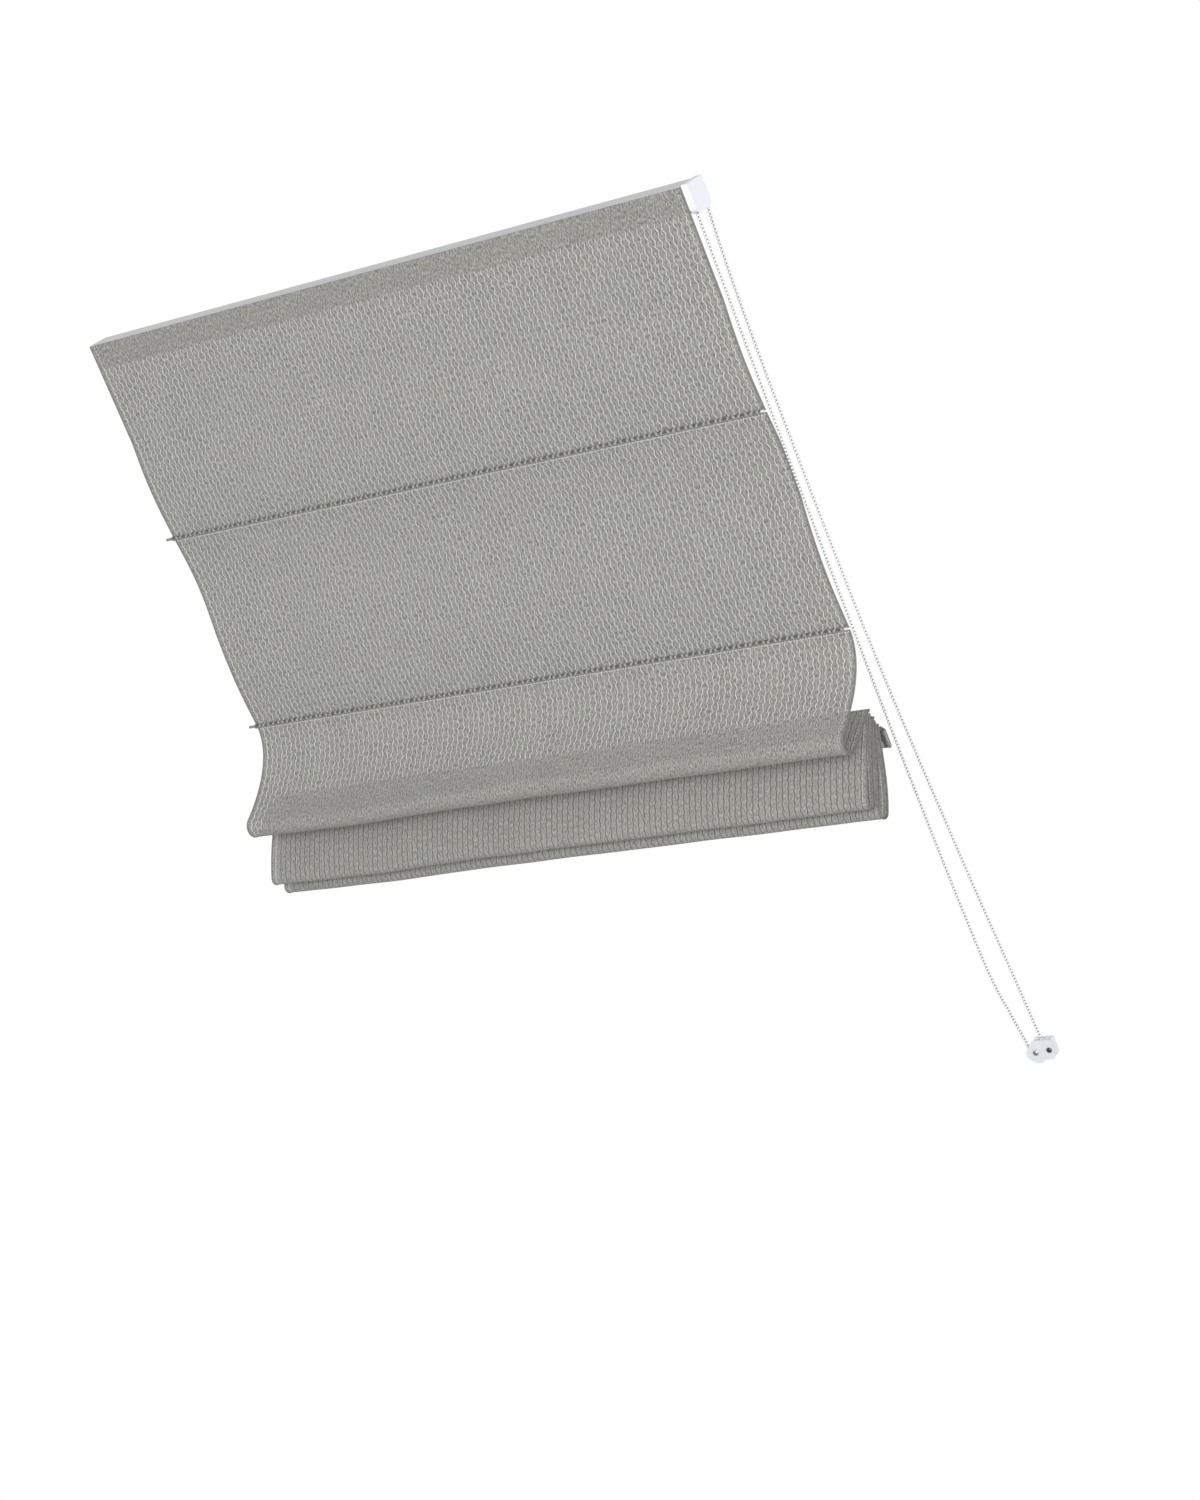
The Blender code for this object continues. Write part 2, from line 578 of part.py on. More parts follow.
def make_tensioner():
    """The case, its screw, and the pulley on its axle."""
    seat = CASE_FLOOR / 2
    cover0 = BASE_HEIGHT + GAP
    base = add("tensioner_base", plan_prism(case_shape(), 0.0, BASE_HEIGHT), "clear_plastic")
    cover = add("tensioner_cover", plan_prism(case_shape(), cover0, CASE_TOP), "clear_plastic")
    cut(base, "base_hollow", plan_prism(case_hollow(), CASE_FLOOR, CASE_TOP))
    cut(cover, "cover_hollow", plan_prism(case_hollow(), 0.0, CASE_TOP - CASE_FLOOR))
    for piece in (base, cover):
        cut(piece, piece.name + "_axle_hole",
            rod(AXLE_DIAMETER / 2 + GAP, spot(TENSIONER_X, TENSIONER_DROP, seat),
                spot(TENSIONER_X, TENSIONER_DROP, 2 * CASE_TOP)))
        cut(piece, piece.name + "_screw_hole",
            rod(SCREW_DIAMETER / 2 + GAP, spot(WING_X, WING_DROP, -CASE_TOP),
                spot(WING_X, WING_DROP, 2 * CASE_TOP)))
    make_pin("tensioner_screw", WING_X, WING_DROP, 0.0, CASE_TOP,
             SCREW_DIAMETER, SCREW_HEAD, SCREW_HEAD_HIGH)
    make_pin("tensioner_axle", TENSIONER_X, TENSIONER_DROP, seat + GAP, CASE_TOP,
             AXLE_DIAMETER, AXLE_HEAD, AXLE_HEAD_HIGH)
    grooved_wheel("tensioner_pulley", spot(TENSIONER_X, TENSIONER_DROP, CASE_TOP / 2), ROOMWARD,
                  PULLEY_PITCH_DIAMETER, AXLE_DIAMETER / 2 + GAP,
                  CASE_TOP / 2 - CASE_FLOOR - RUN)


# Bead chain: one closed loop over the sprocket and round the pulley.

def run_points(start, end, strays):
    """A run of the chain as a smooth curve through its named points."""
    marks = []
    for share, out, sag in ((0.0, 0.0, 0.0), *strays, (1.0, 0.0, 0.0)):
        marks.append(start.lerp(end, share) + ALONG * out + ROOMWARD * sag)
    before = 2 * marks[0] - marks[1]
    after = 2 * marks[-1] - marks[-2]
    padded = [before] + marks + [after]
    line = []
    for a, b, c, d in zip(padded, padded[1:], padded[2:], padded[3:]):
        for k in range(RUN_STEPS):
            t = k / RUN_STEPS
            line.append(b + 0.5 * t * (c - a + t * (2 * a - 5 * b + 4 * c - d
                                                    + t * (3 * (b - c) + d - a))))
    return line[1:]


def make_chain():
    """The whole loop as one round cord: two runs, half the sprocket and half the pulley."""
    rs = SPROCKET_PITCH_DIAMETER / 2
    rp = PULLEY_PITCH_DIAMETER / 2
    lift = CASE_TOP / 2
    front_top = spot(HOUSING_MID, MIDDLE_DROP, SHAFT_LIFT + rs)
    front_low = spot(TENSIONER_X - rp, TENSIONER_DROP, lift)
    rear_top = spot(HOUSING_MID, MIDDLE_DROP, SHAFT_LIFT - rs)
    rear_low = spot(TENSIONER_X + rp, TENSIONER_DROP, lift)
    line = [front_top] + run_points(front_top, front_low, FRONT_RUN)
    for x, drop in arc((TENSIONER_X, TENSIONER_DROP), rp, pi, 0.0, WHEEL_STEPS):
        line.append(spot(x, drop, lift))
    line += run_points(rear_low, rear_top, [(1 - s, o, g) for s, o, g in reversed(REAR_RUN)])
    for drop, up in arc((MIDDLE_DROP, SHAFT_LIFT), rs, 1.5 * pi, 0.5 * pi, WHEEL_STEPS)[:-1]:
        line.append(spot(HOUSING_MID, drop, up))
    curve = bpy.data.curves.new("ball_chain", "CURVE")
    curve.dimensions = "3D"
    spline = curve.splines.new("POLY")
    spline.points.add(len(line) - 1)
    for point, place in zip(spline.points, line):
        point.co = (*place, 1.0)
    spline.use_cyclic_u = True
    curve.bevel_depth = BEAD_DIAMETER / 2
    curve.bevel_resolution = 2
    curve.materials.append(paint("ball_chain_finish", *FINISHES["clear_plastic"]))
    chain = bpy.data.objects.new("ball_chain", curve)
    chain.parent = slope
    bpy.context.collection.objects.link(chain)
    length = sum((b - a).length for a, b in zip(line, line[1:] + line[:1]))
    print("bead chain loop %.3f m" % length)


# Fabric: two straight panels, three folds and a hem, each ending in the pocket of its rod.

def wrap(n, start, turn):
    """The pocket: fabric laid round rod n from one side of it."""
    centre = (ROD_DROPS[n], ROD_LIFTS[n])
    return arc(centre, POCKET_RADIUS, start, start + turn, WRAP_STEPS)


def below_rod(n, leaves):
    """Where the next piece of fabric starts, clear of the pocket round rod n."""
    clear = POCKET_RADIUS + FABRIC_THICK / 2 + GAP
    return step_off((ROD_DROPS[n], ROD_LIFTS[n]), leaves, clear)


def behind_rod(n):
    """The same for fabric that goes on down at the back of rod n."""
    clear = POCKET_RADIUS + FABRIC_THICK / 2 + GAP
    near = POCKET_RADIUS - FABRIC_THICK / 2
    return (ROD_DROPS[n] + sqrt(clear ** 2 - near ** 2), ROD_LIFTS[n] - POCKET_RADIUS)


def half_wave(start, end, lift, swing):
    """Points of half a panel, without the last one: straight, or in one slow swing."""
    steps = HALF_STEPS if swing else 1
    line = []
    for k in range(steps):
        share = k / steps
        line.append((start + (end - start) * share, lift + swing * sin(pi * share)))
    return line


def panel_line(start, n, back, out):
    """Down to rod n and round it; returned as an upper and a lower half."""
    middle = (start[0] + ROD_DROPS[n]) / 2
    upper = half_wave(start[0], middle, start[1], -back)
    lower = half_wave(middle, ROD_DROPS[n], start[1], out)
    return split(upper + lower + wrap(n, -0.5 * pi, PANEL_WRAP), len(upper))


def split(line, n):
    """Both halves of a line, parted by the usual gap after its point n."""
    here = Vector(line[n])
    start = here + (Vector(line[n + 1]) - here).normalized() * GAP
    return line[:n + 1], [tuple(start)] + line[n + 1:]


def fold_line(n):
    """Down the room side of fold n, round its turn, and up to the pocket of the next rod.

    Fold n hangs from rod n + 1.  It is returned as a front and a rear half, parted in the
    middle of the turn.
    """
    above = n + 1
    below = n + 2
    lean = FOLD_LEANS[n]
    r = FOLD_RADII[n]
    leaves = FOLD_LEAVES[n]
    start = below_rod(above, leaves) if leaves else behind_rod(above)
    turn = (ROD_DROPS[above] + FOLD_DROPS[n], FABRIC_LIFT + FOLD_LIFTS[n])
    far = step_off(turn, lean - 0.5 * pi, 2 * r)
    reach = FOLD_DROPS[n] * FRONT_HANDLE
    line = bezier(start, step_off(start, leaves, reach), step_off(turn, lean + pi, reach), turn,
                  FRONT_STEPS)
    middle = step_off(turn, lean - 0.5 * pi, r)
    line += arc(middle, r, lean + 0.5 * pi, lean - 0.5 * pi, 2 * TURN_STEPS)[1:]
    arrives = FOLD_ARRIVES[n]
    pocket = wrap(below, arrives + 0.5 * pi, FOLD_WRAP)
    touch = pocket[0]
    reach = REAR_HANDLE * sqrt((far[0] - touch[0]) ** 2 + (far[1] - touch[1]) ** 2)
    line += bezier(far, step_off(far, lean + pi, reach), step_off(touch, arrives, reach),
                   touch, REAR_STEPS)[1:]
    return split(line + pocket[1:], FRONT_STEPS + TURN_STEPS)


def hem_line():
    """Down behind the stack and once round the flat bottom bar."""
    half = HEM_RADIUS
    low = BAR_TOP + BAR_HEIGHT
    start = below_rod(ROD_COUNT - 1, HEM_LEAVES)
    line = bezier(start, step_off(start, HEM_LEAVES, half), (BAR_TOP - 2 * half, HEM_LIFT),
                  (BAR_TOP, HEM_LIFT), 6)
    line += arc((low, HEM_LIFT + half), half, -0.5 * pi, 0.5 * pi, 6)
    return line + arc((BAR_TOP, HEM_LIFT + half), half, 0.5 * pi, 0.5 * pi + HEM_CLOSE, 4)


def make_fabric():
    """All the fabric, and what each piece would measure laid flat.

    The fabric is one cloth.  Between two rods it is stored as two pieces, because that is where
    it bends when the rods come together.
    """
    lines = {}
    starts = ((0.0, FABRIC_LIFT), behind_rod(0))
    for n, (start, swings) in enumerate(zip(starts, PANEL_SWINGS)):
        upper, lower = panel_line(start, n, *swings)
        lines["panel_%d_upper" % (n + 1)] = upper
        lines["panel_%d_lower" % (n + 1)] = lower
    for n in range(len(FOLD_DROPS)):
        front, rear = fold_line(n)
        lines["fold_%d_front" % (n + 1)] = front
        lines["fold_%d_rear" % (n + 1)] = rear
    lines["hem"] = hem_line()
    for name, line in lines.items():
        smooth_shade(add(name, ribbon_prism(line, FABRIC_THICK, LEFT, RIGHT), "knit"), 50.0)
        length = sum(sqrt((b[0] - a[0]) ** 2 + (b[1] - a[1]) ** 2)
                     for a, b in zip(line, line[1:]))
        print("%s laid flat %.3f x %.3f m" % (name, FABRIC_WIDTH, length))


def make_rods():
    """A thin rod in every pocket; those of the straight panels stick out at the left."""
    for n in range(ROD_COUNT):
        out = ROD_OVERHANG if n < 2 else 0.0
        start = spot(LEFT - out, ROD_DROPS[n], ROD_LIFTS[n])
        end = spot(RIGHT - ROD_INSET, ROD_DROPS[n], ROD_LIFTS[n])
        shape = rod(ROD_DIAMETER / 2, start, end, ROD_SIDES, ROD_DIAMETER / 8)
        centre = spot(0, ROD_DROPS[n], ROD_LIFTS[n])
        smooth_shade(add("rod_%d" % (n + 1), shape, "white_rod", centre))


def make_bar():
    """The flat bar in the hem that keeps the bottom edge straight."""
    lift = HEM_LIFT + HEM_RADIUS
    shape = block(LEFT + BAR_INSET, RIGHT - BAR_INSET, BAR_TOP, BAR_TOP + BAR_HEIGHT,
                  lift - BAR_THICK / 2, lift + BAR_THICK / 2)
    add("bottom_bar", shape, "anodised", spot(0, ROD_DROPS[-1], ROD_LIFTS[-1]))


# Lift cords: from each drum down the back of the fabric to a stop behind the bottom bar.

def cord_runs():
    """The (drop, lift) points of each stretch of a lift cord."""
    leave = SHAFT_LIFT + (DRUM_DIAMETER + CORD_DIAMETER) / 2 + GAP
    rods = [(drop, lift - POCKET_RADIUS - CORD_BEHIND)
            for drop, lift in zip(ROD_DROPS, ROD_LIFTS)]
    drum = (MIDDLE_DROP + DRUM_DIAMETER / 4, leave)
    return {"top": (drum, rods[0]), "upper": (rods[0], rods[1]), "lower": (rods[1], rods[2]),
            "stack": (rods[2], rods[4], (STOP_DROP, STOP_LIFT))}


def cord_tube(x, marks):
    """A thin cord through its points, in one column, drawn back a little at each end."""
    places = [spot(x, drop, lift) for drop, lift in marks]
    places[0] += (places[1] - places[0]).normalized() * GAP
    places[-1] += (places[-2] - places[-1]).normalized() * GAP
    bm = bmesh.new()
    rings = []
    for n, place in enumerate(places):
        before = places[max(n - 1, 0)]
        after = places[min(n + 1, len(places) - 1)]
        up = (after - before).cross(ALONG).normalized()
        ring = []
        for a in range(CORD_SIDES):
            turn = 2 * pi * a / CORD_SIDES
            offset = ALONG * cos(turn) + up * sin(turn)
            ring.append(bm.verts.new(place + offset * CORD_DIAMETER / 2))
        rings.append(ring)
    for here, there in zip(rings, rings[1:]):
        for k in range(CORD_SIDES):
            beside = (k + 1) % CORD_SIDES
            bm.faces.new((here[k], here[beside], there[beside], there[k]))
    bm.faces.new(rings[0])
    bm.faces.new(rings[-1])
    return bm


def make_cord(column, x):
    """The stretches of one lift cord, and the stop at its end."""
    for part, marks in cord_runs().items():
        smooth_shade(add("cord_%s_%s" % (part, column), cord_tube(x, marks), "cord",
                         spot(x, *marks[0])))
    r = STOP_DIAMETER / 2
    profile = ((0.0, 0.0), (r - STOP_CHAMFER, 0.0), (r, STOP_CHAMFER),
               (r, STOP_LENGTH - STOP_CHAMFER), (r - STOP_CHAMFER, STOP_LENGTH),
               (0.0, STOP_LENGTH))
    centre = spot(x, STOP_DROP, STOP_LIFT)
    smooth_shade(add("cord_stop_" + column, lathe(profile, centre, DOWN, 16),
                     "white_plastic", centre))


make_headrail()
make_tapes()
make_left_end()
make_shaft()
make_drive()
make_tensioner()
make_chain()
make_fabric()
make_rods()
make_bar()
for column_name, column_x in CORD_COLUMNS.items():
    make_drum(column_name, column_x)
    make_cradle(column_name, column_x)
    make_cord(column_name, column_x)
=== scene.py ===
# %% [markdown]
# # A folding net blind for a roof window
#
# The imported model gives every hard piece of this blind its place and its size. This lesson
# dresses it: it hangs real net cloth on the rods, threads the beads of the chain, twists the
# lift cords, and gives each piece the finish that it has in the hand. Lengths are in metres.

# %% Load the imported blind
import json
from math import cos, pi, radians, sin, sqrt

import bmesh
import bpy
from mathutils import Matrix, Vector

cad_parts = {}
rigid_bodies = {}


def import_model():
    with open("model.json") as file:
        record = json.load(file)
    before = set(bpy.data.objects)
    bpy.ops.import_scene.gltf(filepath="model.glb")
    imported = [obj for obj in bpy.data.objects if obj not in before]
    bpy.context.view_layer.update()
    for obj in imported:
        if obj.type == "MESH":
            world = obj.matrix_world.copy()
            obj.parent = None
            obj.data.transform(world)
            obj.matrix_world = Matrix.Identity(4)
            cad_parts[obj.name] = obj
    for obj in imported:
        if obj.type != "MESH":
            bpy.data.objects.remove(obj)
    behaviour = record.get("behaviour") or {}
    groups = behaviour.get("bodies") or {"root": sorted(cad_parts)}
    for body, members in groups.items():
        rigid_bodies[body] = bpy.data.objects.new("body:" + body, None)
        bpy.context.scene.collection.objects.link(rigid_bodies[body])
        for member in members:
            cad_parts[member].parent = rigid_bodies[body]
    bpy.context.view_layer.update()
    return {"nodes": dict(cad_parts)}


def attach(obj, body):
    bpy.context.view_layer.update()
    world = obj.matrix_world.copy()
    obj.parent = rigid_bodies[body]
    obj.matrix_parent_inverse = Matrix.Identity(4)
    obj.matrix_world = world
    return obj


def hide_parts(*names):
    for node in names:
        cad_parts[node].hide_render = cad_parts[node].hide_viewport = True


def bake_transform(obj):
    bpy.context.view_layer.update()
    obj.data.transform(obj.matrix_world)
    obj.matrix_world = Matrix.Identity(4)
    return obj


for old in list(bpy.data.objects):
    bpy.data.objects.remove(old)
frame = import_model()
nodes = frame["nodes"]

# %% [markdown]
# ## The viewpoint
#
# A camera is a lens length, a place and a turn. The blind is seen from below and from its
# right, as somebody sees it who stands a few steps into the room. The lens is long, so that
# the edges of the cloth stay almost parallel. The other way would be to aim a camera with a
# Track To constraint, but plain numbers say the same with nothing that has to be updated.

# %% Camera
lens = bpy.data.cameras.new("viewpoint")
lens.lens = 84.53
lens.sensor_width = 36.0
lens.clip_end = 60.0
viewpoint = bpy.data.objects.new("viewpoint", lens)
viewpoint.location = (3.1095, -3.3367, -1.4776)
viewpoint.rotation_euler = (radians(100.308), 0.0, radians(39.344))
bpy.context.scene.collection.objects.link(viewpoint)
bpy.context.scene.camera = viewpoint
print("camera with a lens of %.1f mm" % lens.lens)

# %% [markdown]
# ## The blind's own frame
#
# The blind lies on a slope of 55 degrees, and nobody wants to work out sloping numbers by
# hand. So every place below is given as three plain lengths: x along the headrail, a drop
# down the slope from the top edge of the cloth, and a lift off the ceiling towards the room.
# One function turns those into a point of the scene.

# %% Slope and places
SLOPE = radians(55.0)
MIDDLE_DROP = 0.018
ALONG = Vector((1.0, 0.0, 0.0))
DOWN = Vector((0.0, cos(SLOPE), -sin(SLOPE)))
ROOMWARD = Vector((0.0, -sin(SLOPE), -cos(SLOPE)))


def spot(x, drop, lift):
    """A point of the scene from a place along the rail, down the slope and off the ceiling."""
    return ALONG * x + DOWN * (drop - MIDDLE_DROP) + ROOMWARD * lift


print("the first rod hangs at", [round(c, 3) for c in spot(0.0, 0.303, 0.0405)])

# %% [markdown]
# ## Sizes that the soft pieces follow
#
# Cloth and cord have no shape of their own: they follow the rods, the drums and the wheels.
# These are the sizes of those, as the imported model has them.

# %% Sizes
WIDE = 1.075
LEFT = -WIDE / 2
RIGHT = WIDE / 2
GAP = 0.0003
CLOTH_THICK = 0.0010
CLOTH_LIFT = 0.0377
ROD_DROPS = (0.303, 0.611, 0.721, 0.733, 0.745)
ROD_LIFTS = (0.0405, 0.0405, 0.0592, 0.0554, 0.0516)
POCKET = 0.0028
HEM_LIFT = CLOTH_LIFT + 0.0060
HEM_ROUND = 0.00255
BAR_TOP = ROD_DROPS[4] + 0.0110 + HEM_ROUND
BAR_HIGH = 0.0200
CORD_COLUMNS = {"left": LEFT + 0.1575, "middle": 0.0, "right": RIGHT - 0.1575}
CORD_BEHIND = 0.0075
CORD_THICK = 0.0014
SHAFT_LIFT = 0.01795
DRUM_THICK = 0.0190
DRIVE_X = 0.54280
SPROCKET = 0.0136
PULLEY_X = 0.5556
PULLEY_DROP = 1.2660
PULLEY_LIFT = 0.0064
PULLEY = 0.0126
BEAD = 0.0043
BEAD_WIDE = 0.0050
RAIL_HIGH = 0.0360
print("cloth %.3f m wide on %d rods" % (WIDE, len(ROD_DROPS)))

# %% [markdown]
# ## Shader maths as plain sums
#
# A procedural finish is mostly arithmetic on coordinates, and a tangle of Math nodes is hard
# to read. A small class wraps a socket, so that a sum such as `1 - mask` adds the Math nodes
# by itself. Every other node comes from one method that is given a type, its settings and
# what goes into its sockets.

# %% Sockets in sums, and finishes
class Socket:
    """One output of a shader node, which can stand in a sum."""

    def __init__(self, finish, output):
        self.finish = finish
        self.output = output

    def maths(self, operation, *values):
        """A Math node on these values."""
        inputs = dict(enumerate(values))
        return self.finish.node("ShaderNodeMath", {"operation": operation}, inputs)

    def __add__(self, other):
        return self.maths("ADD", self, other)

    def __radd__(self, other):
        return self.maths("ADD", other, self)

    def __sub__(self, other):
        return self.maths("SUBTRACT", self, other)

    def __rsub__(self, other):
        return self.maths("SUBTRACT", other, self)

    def __mul__(self, other):
        return self.maths("MULTIPLY", self, other)

    def __rmul__(self, other):
        return self.maths("MULTIPLY", other, self)

    def __truediv__(self, other):
        return self.maths("DIVIDE", self, other)

    def __rtruediv__(self, other):
        return self.maths("DIVIDE", other, self)

    def sine(self):
        """The sine of an angle in radians."""
        return self.maths("SINE", self)

    def size(self):
        """The value without its sign."""
        return self.maths("ABSOLUTE", self)

    def smaller(self, other):
        """The smaller of two values."""
        return self.maths("MINIMUM", self, other)

    def larger(self, other):
        """The larger of two values."""
        return self.maths("MAXIMUM", self, other)

    def off_repeat(self, pitch):
        """How far a length is from the nearest multiple of a pitch."""
        share = self.maths("FRACT", self / pitch + 0.5) - 0.5
        return share.size() * pitch

    def fade(self, start, end):
        """A soft step that goes from 1 at start to 0 at end."""
        settings = {"interpolation_type": "SMOOTHSTEP"}
        inputs = {"Value": self, "From Min": start, "From Max": end, "To Min": 1.0, "To Max": 0.0}
        return self.finish.node("ShaderNodeMapRange", settings, inputs)


class Finish:
    """A material under construction."""

    def __init__(self, name, roughness=0.5, **steady):
        self.material = bpy.data.materials.new(name)
        self.material.use_nodes = True
        self.tree = self.material.node_tree
        self.shader = self.tree.nodes["Principled BSDF"]
        self.shader.inputs["Roughness"].default_value = roughness
        for words, value in steady.items():
            self.shader.inputs[words.replace("_", " ")].default_value = value

    def node(self, kind, settings=None, inputs=None, output=0):
        """A node of any type: its settings first, then the values or links of its sockets."""
        made = self.tree.nodes.new(kind)
        for setting, value in (settings or {}).items():
            setattr(made, setting, value)
        for place, value in (inputs or {}).items():
            self.feed(made.inputs[place], value)
        return Socket(self, made.outputs[output])

    def feed(self, place, value):
        """Put a value or a link into a socket."""
        if isinstance(value, Socket):
            self.tree.links.new(value.output, place)
        else:
            place.default_value = value

    def blend(self, share, one, other):
        """A colour between two colours, which go into the node's sockets 6 and 7."""
        ends = [(*c, 1.0) if isinstance(c, tuple) else c for c in (one, other)]
        inputs = {0: share, 6: ends[0], 7: ends[1]}
        return self.node("ShaderNodeMix", {"data_type": "RGBA"}, inputs, 2)

    def noise(self, where, scale, detail=2.0, rough=0.5):
        """Cloudy noise from 0 to 1, with scale clouds to the metre."""
        inputs = {"Vector": where, "Scale": scale, "Detail": detail, "Roughness": rough}
        return self.node("ShaderNodeTexNoise", {}, inputs)

    def place(self):
        """Where on the piece: its own coordinates in metres."""
        return self.node("ShaderNodeTexCoord", output="Object")

    def along_cloth(self):
        """The laid-flat place in metres, and its two parts: across and down."""
        flat = self.node("ShaderNodeUVMap", {"uv_map": "laid_flat"})
        return flat, self.part(flat, 0), self.part(flat, 1)

    def marked(self, name):
        """A number that is stored with the points of the shape."""
        return self.node("ShaderNodeAttribute", {"attribute_name": name}, output="Fac")

    def part(self, vector, n):
        """One number out of a vector."""
        return self.node("ShaderNodeSeparateXYZ", {}, {0: vector}, n)

    def scaled(self, vector, x, y, z):
        """A vector with each of its parts multiplied."""
        settings = {"operation": "MULTIPLY"}
        return self.node("ShaderNodeVectorMath", settings, {0: vector, 1: (x, y, z)})

    def bumps(self, height, depth):
        """Relief whose height from 0 to 1 stands for a depth in metres."""
        relief = self.node("ShaderNodeBump", {}, {"Height": height, "Distance": depth})
        self.feed(self.shader.inputs["Normal"], relief)

    def wear(self, **sockets):
        """Feed what changes over the surface into the shader."""
        for words, value in sockets.items():
            self.feed(self.shader.inputs[words.replace("_", " ")], value)
        print("finish:", self.material.name)
        return self.material


def colour(red, green, blue):
    """A colour as it is seen on a screen, from 0 to 255, as the light it stands for."""
    shares = [c / 255 for c in (red, green, blue)]
    return tuple(c / 12.92 if c < 0.04045 else ((c + 0.055) / 1.055) ** 2.4 for c in shares)


print("a mid grey of 128 reflects %.3f of the light" % colour(128, 128, 128)[0])

# %% [markdown]
# ## Net cloth
#
# The cloth is a warp knit. Fine yarn is looped into dense stripes, and between two stripes
# runs a see-through line that swings left and right every 13 mm. Neighbouring lines swing
# against each other, 9.7 mm apart. The stitches drift a little up and down across the width,
# as knitting does. Near the side edges the cloth is turned over and sewn, and no light comes
# through. In the panels the lines are painted pale as light from behind, and the yarn beside
# them is painted darker as shade. In the gathered loops the lines are painted dark as the
# shade of the cloth behind, and the yarn beside them is painted paler as highlight.
#
# A texture photograph would show this too, but it would blur up close. Sums on the cloth's own
# laid-flat coordinates stay sharp and run on from one piece of cloth to the next. The lines
# are cut out through Alpha, so that what lies behind really shows through.

# %% Knit
LINE_PITCH = 0.00968
SWING_PITCH = 0.0133
SWING = 0.0013
SWING_LOST = 0.45
DRIFT = 3 * SWING_PITCH
RUNG_PITCH = 0.0033
STITCH_PITCH = 0.0048
SIDE_HEM = 0.0085
SEAM_BELOW = 0.0030
GATHERED = (0.80, 0.83)

LINE_RAGGED = 0.0005

# Each pair is a distance within which an effect is full and one from which on it has gone.
LINE = (0.0002, 0.0011)
LINE_CORE = (0.0002, 0.0012)
LINE_SIDES = (0.0012, 0.0028)
LINE_SHADOW = (0.0004, 0.0021)
LINE_GLOW = (0.0010, 0.0026)
RUNG = (0.0004, 0.0011)
SEAM = (0.0004, 0.0012)
SIDE_SEAM = (0.0002, 0.0008)
STITCH_GAP = (0.0014, 0.0019)
PUCKER = (0.0040, 0.0220)

YARN_DARK = colour(101, 100, 96)
YARN_LIGHT = colour(178, 177, 172)
# Pale sewing thread, and painted light from behind in the see-through lines of the panels.
PALE_THREAD_AND_BACKLIGHT = colour(212, 211, 206)
# Painted shade of the cloth behind, in the lines of the gathered loops.
PAINTED_SHADE_IN_LINES = colour(88, 87, 83)
# The pocket's stripe: the doubled cloth, partly painted shade.
POCKET_DARK = colour(60, 60, 57)
POCKET_LIGHT = colour(126, 125, 121)
# Painted light from the white rod, in the lines of a pocket.
ROD_GLOW = colour(186, 185, 180)
YARN_DEPTH = 0.0008


def off_line(across, down, gathered):
    """How far a point lies from the middle of the nearest see-through line."""
    swing = (down * (2 * pi / SWING_PITCH)).sine() * SWING * (1 - gathered * SWING_LOST)
    even = (across + swing).off_repeat(2 * LINE_PITCH)
    odd = (across - swing + LINE_PITCH).off_repeat(2 * LINE_PITCH)
    return even.smaller(odd)


